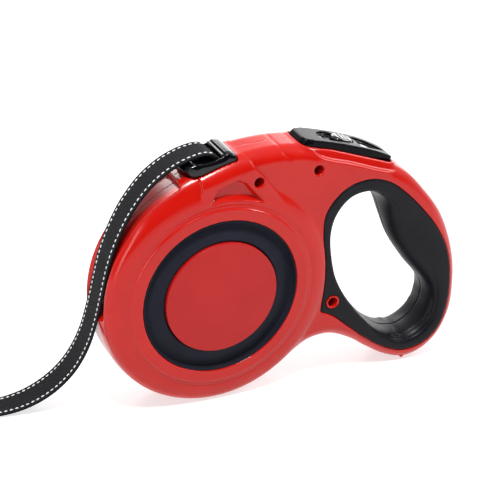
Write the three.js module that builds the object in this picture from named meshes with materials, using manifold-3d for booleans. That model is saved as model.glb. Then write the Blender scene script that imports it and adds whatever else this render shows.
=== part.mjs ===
// Retractable tape leash: two case halves with a ring handle, a spring reel inside, a brake button, and the free tape
// with its swivel snap hook. Millimetres, +Z up. The reel turns about Y; the tape leaves towards -X; the handle is at +X.
// The case is drawn level with its seam line, centred on the reel axis, then pitched so that it stands on belly and handle.
import * as THREE from 'three';
import { mergeVertices } from 'three/addons/utils/BufferGeometryUtils.js';
import Module from 'manifold-3d';

const wasm = await Module();
wasm.setup();

// ---- driving dimensions ----
const PITCH_DEG = 3.3;            // drawing frame to standing frame
const BASE_X = -36.39;            // reel axis in the standing frame
const BASE_Z = 55.754;
const GAP = 0.3;                  // running and seating gap
const SEAM = 0.15;                // half of the line between the two case halves
const HANDLE_HALF = 12.5;         // half width of the handle and web
const FACE_Y = 15.6;              // side face of the round case
const HOUSING_Y = 14.2;           // raised outlet housing
const RIM_R = 44.0;               // raised rim round the side plate
const RING_R = 38.2;              // black side plate
const CAP_R = 27.4;               // red disc
const CASE_R = 55.8;
const CAVITY_R = 51.2;
const CAVITY_Y = 10.0;
const RECESS_Y = 11.8;            // floor of the side plate recess
const RING_Y = 12.9;
const CAP_Y = 16.5;
const FLANGE_R = 47.6, RATCHET_R = 50.2, TEETH = 24;
const FLANGE_Y0 = 7.9, FLANGE_Y1 = 9.4;
const HUB_R = 21.0, HUB_BORE = 18.6;
const ROLL_R = 43.4;
const TAPE_W = 15.0, TAPE_T = 1.0;
const GRIP_Y = 12.6;
const WELL_R = 2.5;
const WELLS = { front: [19.7, 53.1], root: [50.4, 52.2], loop: [58.6, -18.5] };
const BUTTON_DIR = -22.6;         // slope of the button's long axis, degrees
const BUTTON_C = [67.2, 55.5];    // middle of the button's seat line
const BUTTON_L = 51.0, BUTTON_W = 16.6, BUTTON_H = 4.0, BUTTON_SKIRT = 3.0;
const PRESS = 2.4;
const SPRING_S = 9.0;             // button spring, along the button from its middle
const PAWL_PIVOT = [34.0, 57.5];

// outer line of the case halves at the seam, drawing frame
const OUTLINE = [[0, -55.8], [-19.1, -52.4], [-35.9, -42.7], [-48.3, -27.9], [-55.0, -9.7], [-55.7, 4.0], [-55.0, 14.0],
  [-51.7, 24.6], [-45.6, 35.4], [-37.7, 44.9], [-27.5, 52.6], [-15.8, 58.3], [-8, 60.9], [1, 63.5], [10, 65.4], [20.8, 66.3],
  [34.8, 65.9], [45.4, 64.0], [54, 60.9], [64, 57.2], [78, 51.5], [89, 46.4], [98.6, 39.6], [108.2, 28.6], [118.4, 13.3], [125.2, -7],
  [126.9, -23.2], [125.2, -40.3], [118.6, -53.0], [109.8, -59.6], [100, -61.5], [90.2, -58.2], [79, -50.6], [70.3, -43.9],
  [58.3, -38.2], [47.5, -38.6], [39.3, -43.0], [30.5, -48.2], [16, -53.45]];
// finger opening: at the case faces, and at the seam where the rubber swells
const OPEN_FACE = [[67.4, 35.2], [59.6, 27.4], [56.7, 17.7], [57.6, 3.2], [60.2, -7.8], [65.7, -19.6], [74.9, -33.2], [84.5, -43.9],
  [96, -51.4], [107, -50.6], [116, -42.5], [118.8, -26.5], [116, -8], [109, 8], [98.5, 22.4], [87.5, 32.6], [78.5, 36.6]];
const OPEN_SEAM = [[68.0, 33.6], [61.0, 26.6], [58.3, 17.5], [59.2, 3.4], [61.7, -7.1], [67.0, -18.3], [76.0, -31.4], [86.0, -42.0],
  [97, -47.6], [106.0, -44.6], [112.2, -37.6], [113.0, -27.0], [101.6, -9.8], [93.4, 4], [89.0, 16.2], [84.8, 28.0], [77.5, 33.8]];
// outer line of the rubber grip on the case face
const GRIP_LINE = [[77.8, 41.9], [66.5, 40.6], [58.9, 35.2], [54.3, 28.2], [53.3, 18.7], [54.4, 5.2], [54.3, -7.0], [52.4, -22.4],
  [59.0, -26.2], [66.9, -33.7], [76.9, -42.8], [88.0, -51.0], [98.4, -55.0], [109.4, -53.2], [117.4, -46.2], [121.4, -34.8], [122.4, -20.5],
  [120.6, -6.4], [113.8, 8.9], [103.8, 22.6], [95.6, 31.6], [87.6, 38.3]];
const GRIP_CORNER = 7;            // the pointed lower front corner of the grip line
// where the rubber goes right through the case; in front of this the case backs the rubber
const GRIP_CORE = [[77.8, 41.7], [66.0, 40.0], [58.6, 34.4], [54.2, 27.4], [53.3, 18.7], [54.5, 4.0], [57.2, -8.4], [63.0, -21.0],
  [71.8, -34.6], [80.4, -44.6], [89.0, -51.0], [98.4, -54.8], [109.4, -53.0], [117.2, -46.0], [121.2, -34.8], [122.2, -20.5],
  [120.4, -6.4], [113.6, 8.8], [103.6, 22.4], [95.4, 31.4], [87.4, 38.1]];
const HOUSING = [[-11.5, 43.5], [-7.6, 55.0], [-9.2, 60.6], [1, 63.0], [10, 64.9], [14.6, 64.9], [18.2, 60.6], [23.4, 54.2], [28.4, 47.0],
  [33.2, 39.0], [36.8, 30.5], [30, 26], [0, 36]];
const POCKET = [[-4.2, 47.4], [-0.7, 53.6], [9.4, 56.9], [13.7, 54.4], [22.3, 43.2], [18, 44.6], [12, 46.4], [4, 47.7]];
const NOZZLE = [[-14.6, 62.9], [-13.4, 60.3], [-9.4, 58.3], [-4, 57.0], [6, 57.6], [10.9, 60.2], [11.0, 66.4], [10.2, 67.9], [7.2, 68.5],
  [3.6, 68.2], [1.2, 67.0], [-4, 66.7], [-9.6, 66.5], [-13.2, 65.2]];
const MECH = [[29.5, 55.5], [30.5, 61.4], [37, 61.7], [50.5, 59.2], [50.5, 53.0], [43.6, 52.2], [45.0, 40], [45.4, 30], [40, 28], [33, 38], [33.6, 50]];
// free tape, standing frame measured from the reel axis: x, y, z of its middle line
const TAPE = [[-1.75, 0, 64.6], [-2.7, 0, 66.8], [-5.9, 0, 68.2], [-12.1, 0, 67.6], [-20.2, 0, 64.9], [-27.1, 0, 60.9], [-33.2, 0, 55.8],
  [-38.3, 0, 49.7], [-42.8, 0, 42.8], [-46.5, 0, 35.2], [-49.6, 0, 27.4], [-51.9, 0.1, 19.3], [-53.6, 0.4, 10.4], [-55.0, 1.1, 1.0],
  [-56.5, 2.1, -8.5], [-58.4, 3.3, -17.7], [-61.3, 4.7, -26.5], [-65.3, 6.2, -34.5], [-70.7, 7.8, -41.5], [-77.0, 9.3, -47.0],
  [-84.0, 10.8, -51.1], [-91.5, 12.2, -53.7], [-99, 13.5, -54.9], [-107, 14.8, -55.21], [-116, 16.2, -55.21], [-126, 17.8, -55.21],
  [-137, 19.6, -55.21], [-148, 21.4, -55.21]];

// ---- helpers ----
const rad = (d) => d * Math.PI / 180;
function fixed(geo) {
  const g = geo.index ? geo.clone() : geo.clone();
  g.deleteAttribute('normal'); g.deleteAttribute('uv');
  const m = mergeVertices(g, 1e-4);
  const p = m.attributes.position.array, t = m.index.array;
  const tri = [];
  for (let i = 0; i < t.length; i += 3) if (t[i] !== t[i + 1] && t[i + 1] !== t[i + 2] && t[i] !== t[i + 2]) tri.push(t[i], t[i + 1], t[i + 2]);
  let v = 0;
  for (let i = 0; i < tri.length; i += 3) {
    const [a, b, c] = [tri[i] * 3, tri[i + 1] * 3, tri[i + 2] * 3];
    v += p[a] * (p[b + 1] * p[c + 2] - p[b + 2] * p[c + 1]) - p[a + 1] * (p[b] * p[c + 2] - p[b + 2] * p[c]) + p[a + 2] * (p[b] * p[c + 1] - p[b + 1] * p[c]);
  }
  if (v < 0) for (let i = 0; i < tri.length; i += 3) [tri[i + 1], tri[i + 2]] = [tri[i + 2], tri[i + 1]];
  m.setIndex(tri);
  return m;
}
function solid(geo) {
  const m = fixed(geo);
  return new wasm.Manifold(new wasm.Mesh({ numProp: 3, vertProperties: new Float32Array(m.attributes.position.array), triVerts: new Uint32Array(m.index.array) }));
}
function geoOf(man) {
  const m = man.getMesh();
  const g = new THREE.BufferGeometry();
  g.setAttribute('position', new THREE.BufferAttribute(new Float32Array(m.vertProperties), 3));
  g.setIndex(new THREE.BufferAttribute(new Uint32Array(m.triVerts), 1));
  return g;
}
const cut = (a, ...b) => b.reduce((x, y) => x.subtract(y), a);
const join = (a, ...b) => b.reduce((x, y) => x.add(y), a);
function mirrorY(geo) {
  const g = geo.clone(), p = g.attributes.position;
  for (let i = 0; i < p.count; i++) p.setY(i, -p.getY(i));
  return fixed(g);
}
const flipY = (man) => solid(mirrorY(geoOf(man)));

function area2(P) { let a = 0; for (let i = 0; i < P.length; i++) { const [x, y] = P[i], [u, v] = P[(i + 1) % P.length]; a += x * v - u * y; } return a / 2; }
const ccw = (P) => (area2(P) < 0 ? [...P].reverse() : P);
function smooth(P, n, matched = false) {
  const c = new THREE.CatmullRomCurve3(P.map(([x, z]) => new THREE.Vector3(x, 0, z)), true, matched ? 'catmullrom' : 'centripetal', 0.5);
  const q = matched ? c.getPoints(n) : c.getSpacedPoints(n);
  return q.slice(0, n).map((v) => [v.x, v.z]);
}
// smooth, but keep one control point sharp
function smoothCorner(P, k, n) {
  const Q = [...P.slice(k), ...P.slice(0, k), P[k]];
  const c = new THREE.CatmullRomCurve3(Q.map(([x, z]) => new THREE.Vector3(x, 0, z)), false, 'centripetal');
  return c.getSpacedPoints(n).slice(0, n).map((v) => [v.x, v.z]);
}
function inset(P, d) {           // P counter-clockwise
  if (!d) return P;
  const n = P.length;
  return P.map((p, i) => {
    const a = P[(i + n - 1) % n], b = P[(i + 1) % n];
    let e1 = [p[0] - a[0], p[1] - a[1]], e2 = [b[0] - p[0], b[1] - p[1]];
    const l1 = Math.hypot(...e1), l2 = Math.hypot(...e2);
    e1 = [e1[0] / l1, e1[1] / l1]; e2 = [e2[0] / l2, e2[1] / l2];
    let nx = -(e1[1] + e2[1]), nz = e1[0] + e2[0];
    const l = Math.hypot(nx, nz); nx /= l; nz /= l;
    const k = Math.max(0.5, -e1[1] * nx + e1[0] * nz);
    return [p[0] + nx * d / k, p[1] + nz * d / k];
  });
}
function loft(rings) {           // rings: [[y, points]], all the same count
  const n = rings[0][1].length, pos = [], idx = [];
  for (const [y, P] of rings) for (const [x, z] of P) pos.push(x, y, z);
  for (let k = 0; k + 1 < rings.length; k++) for (let i = 0; i < n; i++) {
    const a = k * n + i, b = k * n + (i + 1) % n, c = a + n, d = b + n;
    idx.push(a, b, d, a, d, c);
  }
  const cap = (k, flip) => {
    const P = rings[k][1].map(([x, z]) => new THREE.Vector2(x, z));
    const T = THREE.ShapeUtils.triangulateShape(P, []);
    if (T.length === n - 2) for (const [a, b, c] of T) idx.push(k * n + a, k * n + (flip ? c : b), k * n + (flip ? b : c));
    else {                       // points in line: fan from the middle instead
      const c = pos.length / 3;
      pos.push(P.reduce((q, v) => q + v.x, 0) / n, rings[k][0], P.reduce((q, v) => q + v.y, 0) / n);
      for (let i = 0; i < n; i++) idx.push(c, k * n + (flip ? (i + 1) % n : i), k * n + (flip ? i : (i + 1) % n));
    }
  };
  cap(0, true); cap(rings.length - 1, false);
  const g = new THREE.BufferGeometry();
  g.setAttribute('position', new THREE.Float32BufferAttribute(pos, 3));
  g.setIndex(idx);
  return g;
}
const slab = (P, levels) => { const Q = ccw(P); return solid(loft(levels.map(([y, d]) => [y, inset(Q, d)]))); };
// a ring of revolution about Y from [radius, y] pairs that start and end on the axis or close on themselves
const turned = (pts, seg = 72) => solid(new THREE.LatheGeometry(pts.map(([r, y]) => new THREE.Vector2(r, y)), seg));
function rodY(x, z, r, y0, y1, seg = 24) {
  const g = new THREE.CylinderGeometry(r, r, Math.abs(y1 - y0), seg);
  g.translate(x, (y0 + y1) / 2, z);
  return solid(g);
}
// axes of the button: along it, and out of the case
const uB = [Math.cos(rad(BUTTON_DIR)), Math.sin(rad(BUTTON_DIR))], nB = [-uB[1], uB[0]];
const atB = (s, h) => [BUTTON_C[0] + uB[0] * s + nB[0] * h, BUTTON_C[1] + uB[1] * s + nB[1] * h];
function boxB(s0, s1, w, h0, h1) { // box in button axes, full width w
  return slab([atB(s0, h0), atB(s1, h0), atB(s1, h1), atB(s0, h1)], [[-w / 2, 0], [w / 2, 0]]);
}
// a slab whose outline lies in the button's plane (s, y) and whose height runs along nB
function slabB(P, levels) {
  const Q = ccw(P), n = Q.length;
  const g = loft(levels.map(([h, d]) => [h, inset(Q, d)]));
  const p = g.attributes.position;
  for (let i = 0; i < p.count; i++) {
    const s = p.getX(i), h = p.getY(i), y = p.getZ(i), [x, z] = atB(s, h);
    p.setXYZ(i, x, y, z);
  }
  return solid(g);
}
const rounded = (l, w, r, k = 5, cx = 0) => {
  const P = [];
  for (const [sx, sy, a0] of [[1, 1, 0], [-1, 1, 90], [-1, -1, 180], [1, -1, 270]])
    for (let i = 0; i <= k; i++) { const a = rad(a0 + 90 * i / k); P.push([cx + sx * (l / 2 - r) + r * Math.cos(a), sy * (w / 2 - r) + r * Math.sin(a)]); }
  return P;
};

// ---- case halves, drawn at -Y ----
const outline = smooth(OUTLINE, 96);
const openFace = smooth(OPEN_FACE, 51, true), openSeam = smooth(OPEN_SEAM, 51, true);
const gripLine = smoothCorner(GRIP_LINE, GRIP_CORNER, 58);
const gripCore = smooth(GRIP_CORE, 54);
const mix = (A, B, t) => A.map((a, i) => [a[0] + (B[i][0] - a[0]) * t, a[1] + (B[i][1] - a[1]) * t]);
const openCutter = (() => {
  const r = [[0.8, ccw(openSeam)]];
  for (const u of [0, 0.35, 0.62, 0.82, 0.95, 1, 1.12]) r.push([-SEAM - (GRIP_Y - SEAM) * u, ccw(mix(openSeam, openFace, 1 - Math.sqrt(Math.max(0, 1 - Math.min(u, 1) ** 2))))]);
  return solid(loft(r));
})();

const handleSlab = slab(outline, [[-SEAM, 0], [-5.8, 0], [-8.8, 0.9], [-10.9, 2.7], [-12.1, 5.0], [-HANDLE_HALF, 7.2]]);
const roundBody = turned([[0, -SEAM], [CASE_R, -SEAM], [CASE_R, -7.6], [55.0, -10.6], [52.9, -13.0], [49.4, -14.3], [RIM_R + 0.5, -14.9],
  [RIM_R, -FACE_Y], [0, -FACE_Y]], 64);
const housing = slab(HOUSING, [[-6, 0], [-12.4, 0], [-HOUSING_Y + 0.3, 0.7], [-HOUSING_Y, 1.2]]);
// the outlet block narrows towards its side faces, most at its front lip
const nozzleBody = (g) => {
  const P = inset(ccw(NOZZLE), -g), k = ([ax, az]) => P.map(([x, z]) => [11 + g - (11 + g - x) * (1 - ax), z > 60 ? 60 + (z - 60) * (1 - az) : z]);
  const L = [[9.8 + g, 0.17, 0.16], [8.9 + g, 0.09, 0.06], [6.6, 0.03, 0.01], [3, 0, 0]];
  return solid(loft([...L.map(([y, ...a]) => [-y, k(a)]), ...[...L].reverse().map(([y, ...a]) => [y, k(a)])]));
};
const nozzleSeat = nozzleBody(GAP).add(slab([[-3.5, 46], [15, 46], [12, 52.5], [7.5, 60], [-3.5, 60]], [[-8.6, 0], [8.6, 0]]));
// shallow channel that guides the tape down the front of the case
const channel = (() => {
  const P = [], Q = [];
  const c = new THREE.CatmullRomCurve3(OUTLINE.map(([x, z]) => new THREE.Vector3(x, 0, z)), true, 'centripetal');
  const pts = c.getSpacedPoints(400).map((v) => [v.x, v.z, Math.atan2(v.z, v.x)]).filter(([, , a]) => a > rad(106) || a < rad(-176.5));
  const ang = (a) => (a < 0 ? a + 2 * Math.PI : a);
  pts.sort((a, b) => ang(a[2]) - ang(b[2]));
  for (let i = 0; i < pts.length; i += 4) { const [x, z, a] = pts[i], r = Math.hypot(x, z); P.push([x * (r + 4.5) / r, z * (r + 4.5) / r]); Q.push([x * (r - 3.6) / r, z * (r - 3.6) / r]); void a; }
  return slab([...P, ...Q.reverse()], [[0.8, 0], [-6.0, 0.1], [-8.0, 0.5], [-9.4, 1.7], [-10.2, 3.4]]);
})();
const well = ([x, z], y0) => rodY(x, z, WELL_R, y0, -20, 20);
const buttonOutline = rounded(BUTTON_L, BUTTON_W, 3.2, 4);
const buttonPocket = slabB(inset(ccw(buttonOutline), -0.35), [[-BUTTON_SKIRT - PRESS - 0.4, 0], [20, 0]]);
const springWell = slabB(rounded(6.6, 6.6, 3.2, 3, SPRING_S), [[-7.8, 0], [0, 0]]);
const mechCut = cut(slab(MECH, [[-9.8, 0], [1, 0]]), rodY(...WELLS.root, 3.3, 2, -12, 20));

function caseHalf() {
  let s = join(handleSlab, roundBody, housing);
  const cavity = turned([[0, 1], [CAVITY_R, 1], [CAVITY_R, -CAVITY_Y], [0, -CAVITY_Y]], 48);
  const recess = turned([[0, -20], [RING_R + 0.15, -20], [RING_R + 0.15, -RECESS_Y], [0, -RECESS_Y]], 64);
  s = cut(s, cavity, recess, channel, nozzleSeat, mechCut, buttonPocket, springWell);
  s = cut(s, slab(gripCore, [[2, -0.15], [-11.2, -0.15]]), slab(gripLine, [[-11.1, -0.15], [-16, -0.15]]));
  s = join(s, rodY(...WELLS.loop, 3.3, -8, -GRIP_Y - 0.35, 24));
  s = cut(s, rodY(...PAWL_PIVOT, 1.5, -11.3, 2, 16));
  return s;
}
const half = caseHalf();
const pocketCut = slab(POCKET, [[-HOUSING_Y + 1.3, 0.9], [-HOUSING_Y, 0], [-20, -0.3]]);
const seamHoles = Object.values(WELLS).map(([x, z]) => rodY(x, z, 1.35, -6, 2, 12));
const shellLeft = cut(half, pocketCut, ...Object.values(WELLS).map((w) => well(w, -5.2)), ...seamHoles);
const blind = Object.values(WELLS).map(([x, z]) => rodY(x, z, 1.35, -7.5, 2, 12));
const axleHole = rodY(0, 0, 1.7, -9, -14, 20);
const shellRight = flipY(cut(half, pocketCut, ...blind, axleHole));

// ---- grip halves ----
const gripHalf = (() => {
  let g = join(slab(gripCore, [[-SEAM, 0.15], [-11.25, 0.15]]), slab(gripLine, [[-11.25, 0.15], [-GRIP_Y + 0.3, 0.15], [-GRIP_Y, 0.5]]));
  return cut(g, openCutter, rodY(...WELLS.loop, 3.6, 2, -20, 24));
})();
const gripSolidL = gripHalf, gripSolidR = flipY(gripHalf);

// ---- side plates and caps ----
const ring = turned([[9.5, -RECESS_Y - 0.15], [RING_R - 0.1, -RECESS_Y - 0.15], [RING_R - 0.1, -RING_Y + 0.1], [RING_R - 0.3, -RING_Y], [9.5, -RING_Y], [9.5, -RECESS_Y - 0.15]], 56);
const cap = turned([[0, -14.6], [7, -14.6], [7, -RING_Y - 0.15], [CAP_R, -RING_Y - 0.15], [CAP_R, -CAP_Y + 0.7], [CAP_R - 0.2, -CAP_Y + 0.25], [CAP_R - 0.7, -CAP_Y], [0, -CAP_Y]], 56);

// ---- nozzle ----
const slot = slab([[-0.6, 52], [3.6, 52], [3.6, 75], [-0.6, 75]], [[-8.2, 0], [8.2, 0]]);
const barSeat = slab([[3.6 - 0.01, 65.4], [10.0, 65.4], [10.0, 75], [3.6 - 0.01, 75]], [[-8.6, 0], [8.6, 0]]);
const nozzle = cut(nozzleBody(0), slot, barSeat);
const guideBar = slab([[4.0, 65.8], [9.6, 65.8], [9.6, 68.2], [8.6, 68.9], [6, 69.1], [4.6, 68.7], [4.0, 68.0]], [[-8.2, 0.5], [-7.8, 0], [7.8, 0], [8.2, 0.5]]);

// ---- brake button, slider, pawl ----
let button = slabB(buttonOutline, [[-BUTTON_SKIRT, 0], [BUTTON_H - 1.6, 0], [BUTTON_H - 0.6, 0.5], [BUTTON_H, 1.4]]);
button = cut(button, slabB(rounded(6.4, 6.4, 3.0, 3, SPRING_S), [[-BUTTON_SKIRT - 1, 0], [1.6, 0]]));
button = join(button, boxB(-22.5, -18.5, 5.6, -4.6, -BUTTON_SKIRT + 0.1));
const sliderPocket = slabB(rounded(16, 9.0, 4.4, 5, -3), [[2.4, 0], [BUTTON_H + 1, 0]]);
button = cut(button, sliderPocket);
const slider = slabB(rounded(11.0, 8.2, 4.0, 5, -1.0), [[2.7, 0], [BUTTON_H - 0.4, 0], [BUTTON_H + 0.5, 0.6], [BUTTON_H + 0.9, 1.4]]);
// pawl: nose towards the ratchet ring, tail under the button's foot
const PAWL = [[31.2, 57.0], [32.3, 60.0], [36, 60.6], [40, 59.4], [46.9, 58.3], [47.1, 56.3], [40.6, 55.4], [38.8, 52], [41.6, 40], [42.6, 33.6],
  [41.8, 31.4], [39.6, 33.2], [38.0, 38], [35.2, 50], [32, 54.6]];
const pawl = cut(slab(PAWL, [[-9.2, 0.3], [-8.9, 0], [8.9, 0], [9.2, 0.3]]), rodY(...PAWL_PIVOT, 1.5, -12, 12, 16));
const pawlPin = rodY(...PAWL_PIVOT, 1.2, -11.0, 11.0, 16);

// ---- reel ----
const toothed = (() => {
  const P = [];
  for (let i = 0; i < TEETH; i++) {
    const a = i * 360 / TEETH;
    for (const [da, r] of [[0, RATCHET_R], [3.2, RATCHET_R], [5.4, RATCHET_R - 3.0], [11.6, RATCHET_R - 3.0]]) { const t = rad(a + da + 1.1); P.push([r * Math.cos(t), r * Math.sin(t)]); }
  }
  return P;
})();
const reel = (() => {
  let r = turned([[3.2, -FLANGE_Y1], [HUB_R, -FLANGE_Y1], [FLANGE_R, -FLANGE_Y1], [FLANGE_R, -FLANGE_Y0], [HUB_R, -FLANGE_Y0], [HUB_R, FLANGE_Y0], [FLANGE_R, FLANGE_Y0],
    [FLANGE_R, FLANGE_Y1], [HUB_BORE, FLANGE_Y1], [HUB_BORE, -FLANGE_Y0 + 0.2], [4.9, -FLANGE_Y0 + 0.2], [4.9, 6.6], [3.2, 6.6], [3.2, -FLANGE_Y1]], 48);
  const teeth = (y0, y1) => cut(slab(toothed, [[y0, 0], [y1, 0]]), rodY(0, 0, FLANGE_R - 1.5, -12, 12, 48));
  return join(r, teeth(-FLANGE_Y1, -FLANGE_Y0), teeth(FLANGE_Y0, FLANGE_Y1));
})();
const reelCover = turned([[3.3, FLANGE_Y1 - 1.2], [HUB_BORE - 0.25, FLANGE_Y1 - 1.2], [HUB_BORE - 0.25, FLANGE_Y1], [3.3, FLANGE_Y1], [3.3, FLANGE_Y1 - 1.2]], 40);
const axle = cut(rodY(0, 0, 2.9, -CAVITY_Y + 0.2, CAVITY_Y - 0.2, 32), rodY(0, 0, 1.5, 3, 12, 16));
const axleScrew = turned([[0, 3.6], [1.2, 3.6], [1.2, RECESS_Y + 0.15], [3.6, RECESS_Y + 0.15], [3.6, RECESS_Y + 1.3], [3.0, RECESS_Y + 1.9], [0, RECESS_Y + 1.9]], 24);
const tapeRoll = (() => {       // wound turns, one edge step where the outer layer ends
  const P = [[HUB_R + 0.3, -TAPE_W / 2], [ROLL_R, -TAPE_W / 2], [ROLL_R, TAPE_W / 2], [HUB_R + 0.3, TAPE_W / 2], [HUB_R + 0.3, -TAPE_W / 2]];
  return turned(P, 40);
})();
// flat spiral spring between the axle sleeve and the hub wall
const spring = (() => {
  const turns = 6, n = 20 * turns, r0 = 6.0, r1 = 17.6, t = 0.5, A = [], B = [];
  for (let i = 0; i <= n; i++) { const a = 2 * Math.PI * turns * i / n, r = r0 + (r1 - r0) * i / n; A.push([(r + t / 2) * Math.cos(a), (r + t / 2) * Math.sin(a)]); B.push([(r - t / 2) * Math.cos(a), (r - t / 2) * Math.sin(a)]); }
  return slab([...A, ...B.reverse()], [[-6.6, 0], [7.2, 0]]);
})();

// ---- strips ----
function sweep(pts, section) {   // section: [across, up] pairs; across stays as level as it can
  const T = pts.map((p, i) => { const a = pts[Math.max(0, i - 1)], b = pts[Math.min(pts.length - 1, i + 1)]; return new THREE.Vector3().subVectors(b, a).normalize(); });
  const n = section.length, pos = [], idx = [];
  pts.forEach((p, i) => {
    const Y = new THREE.Vector3(0, 1, 0), w = Y.addScaledVector(T[i], -T[i].y).normalize(), u = new THREE.Vector3().crossVectors(T[i], w).normalize();
    for (const [a, b] of section) { const v = p.clone().addScaledVector(w, a).addScaledVector(u, b); pos.push(v.x, v.y, v.z); }
  });
  for (let k = 0; k + 1 < pts.length; k++) for (let i = 0; i < n; i++) { const a = k * n + i, b = k * n + (i + 1) % n; idx.push(a, b, b + n, a, b + n, a + n); }
  const S = section.map(([a, b]) => new THREE.Vector2(a, b)), L = (pts.length - 1) * n;
  for (const [a, b, c] of THREE.ShapeUtils.triangulateShape(S, [])) { idx.push(a, c, b); idx.push(L + a, L + b, L + c); }
  const g = new THREE.BufferGeometry();
  g.setAttribute('position', new THREE.Float32BufferAttribute(pos, 3)); g.setIndex(idx);
  return solid(g);
}
const flat = (w, t) => [[-w / 2, -t * 0.25], [-w / 2 + 0.5, -t / 2], [w / 2 - 0.5, -t / 2], [w / 2, -t * 0.25], [w / 2, t * 0.25], [w / 2 - 0.5, t / 2], [-w / 2 + 0.5, t / 2], [-w / 2, t * 0.25]];
const tapeCurve = new THREE.CatmullRomCurve3(TAPE.map(([x, y, z]) => new THREE.Vector3(x, y, z)), false, 'centripetal');
const tapeFree = sweep(tapeCurve.getSpacedPoints(58), flat(TAPE_W, TAPE_T));
// inner run: from the top of the roll up to the slot, standing frame
const q = (x, z) => { const c = Math.cos(rad(PITCH_DEG)), s = Math.sin(rad(PITCH_DEG)); return new THREE.Vector3(x * c - z * s, 0, x * s + z * c); };
const leadCurve = new THREE.CatmullRomCurve3([q(27.5, 35.2), q(20.0, 41.0), q(12.0, 46.6), q(5.4, 53.2), q(2.4, 58.6), q(1.9, 63.6)], false, 'centripetal');
const tapeLead = sweep(leadCurve.getSpacedPoints(16), flat(TAPE_W, TAPE_T));

// ---- snap hook at the end of the tape, drawn along +X and lying flat, then turned to the tape's direction ----
const END = new THREE.Vector3(...TAPE[TAPE.length - 1]);
const BEFORE = new THREE.Vector3(...TAPE[TAPE.length - 2]);
const HOOK_DIR = Math.atan2(END.y - BEFORE.y, END.x - BEFORE.x);
const plan = (P, levels) => {   // outline in the table plane, levels of z
  const Q = ccw(P), g = loft(levels.map(([z, d]) => [z, inset(Q, d)])), p = g.attributes.position;
  for (let i = 0; i < p.count; i++) { const x = p.getX(i), z = p.getY(i), y = p.getZ(i); p.setXYZ(i, x, y, z); }
  return solid(g);
};
const side = (P, levels) => slab(P, levels);   // outline in x, z with y levels
const rodX = (x0, x1, r, z, seg = 20) => { const g = new THREE.CylinderGeometry(r, r, x1 - x0, seg); g.rotateZ(Math.PI / 2); g.translate((x0 + x1) / 2, 0, z); return solid(g); };
const AX = 5.0;                  // height of the hook's middle plane above the table
const sleeve = (() => {
  const s = plan(rounded(20, 18.4, 3, 4, 12.4), [[0.02, 1.2], [0.9, 0.2], [2.6, 0], [4.6, 0.2], [5.6, 1.4]]);
  const inlet = side([[0, -0.1], [6.0, -0.1], [6.0, 1.4], [0, 1.4]], [[-7.85, 0], [7.85, 0]]);
  const outlet = side([[17.5, 0.3], [30, 0.3], [30, 4.8], [17.5, 4.8]], [[-7.85, 0], [7.85, 0]]);
  return cut(s, inlet, outlet);
})();
const endLoop = (() => {
  const outer = [[17.8, 0.7], [26, 0.5], [31, 0.8], [35.4, 2.4], [36.6, 5.0], [35.4, 7.6], [32, 8.9], [28, 8.0], [24, 4.6], [17.8, 4.4]];
  const inner = [[27.6, 4.6], [29.6, 2.7], [32.6, 2.9], [34.4, 5.0], [32.8, 7.0], [30.0, 6.8]];
  return cut(side(outer, [[-7.5, 0], [7.5, 0]]), side(inner, [[-8, 0], [8, 0]]));
})();
const barPath = (P, r, seg, closed) => {  // round bar along a path in the plane z = AX
  const n = P.length, pos = [], idx = [], m = closed ? n : n - 1;
  P.forEach((p, i) => {
    const a = closed ? P[(i + n - 1) % n] : P[Math.max(0, i - 1)], b = closed ? P[(i + 1) % n] : P[Math.min(n - 1, i + 1)];
    let tx = b[0] - a[0], ty = b[1] - a[1]; const l = Math.hypot(tx, ty); tx /= l; ty /= l;
    for (let k = 0; k < seg; k++) { const t = 2 * Math.PI * (k + 0.5) / seg; pos.push(p[0] - ty * r * Math.cos(t), p[1] + tx * r * Math.cos(t), AX + r * Math.sin(t)); }
  });
  for (let i = 0; i < m; i++) for (let k = 0; k < seg; k++) { const a = i * seg + k, b = i * seg + (k + 1) % seg, c = ((i + 1) % n) * seg + k, d = ((i + 1) % n) * seg + (k + 1) % seg; idx.push(a, b, d, a, d, c); }
  if (!closed) for (let k = 1; k + 1 < seg; k++) { idx.push(0, k + 1, k); const L = (n - 1) * seg; idx.push(L, L + k, L + k + 1); }
  const g = new THREE.BufferGeometry(); g.setAttribute('position', new THREE.Float32BufferAttribute(pos, 3)); g.setIndex(idx); return solid(g);
};
const rodAt = (x0, x1, r, y, seg = 20) => { const g = new THREE.CylinderGeometry(r, r, x1 - x0, seg); g.rotateZ(Math.PI / 2); g.translate((x0 + x1) / 2, y, AX); return solid(g); };
const hookEye = join(barPath(rounded(14.4, 21.2, 4.2, 4, 38.4), 1.6, 10, true), rodAt(45.2, 52.0, 2.2, 0), rodAt(51.9, 53.4, 3.2, 0));
const BOLT_Y = 8.2;
const hookBody = (() => {
  const C = new THREE.CatmullRomCurve3([[56.5, -1.6], [60.5, -4.6], [66, -8.2], [72.5, -9.6], [79, -9.6], [85.79, -6.79], [88.6, 0], [85.79, 6.79], [79.4, 9.5],
    [76.0, 8.9], [73.2, BOLT_Y]].map(([x, y]) => new THREE.Vector3(x, y, 0)), false, 'centripetal');
  let b = join(rodAt(48.4, 57.4, 4.9, 0, 24), rodAt(57.3, 59.4, 4.2, 0, 24), barPath(C.getSpacedPoints(34).map((v) => [v.x, v.y]), 2.4, 10, false),
    rodAt(49.5, 60.0, 3.6, BOLT_Y, 20), plan([[49.5, 2], [59.4, 2], [59.4, 7.5], [49.5, 7.5]], [[AX - 2.6, 0], [AX + 2.6, 0]]));
  return cut(b, rodAt(50.2, 54.6, 3.6, 0), rodAt(47, 51, 2.5, 0), rodAt(50.4, 62, 2.15, BOLT_Y, 16));
})();
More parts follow.
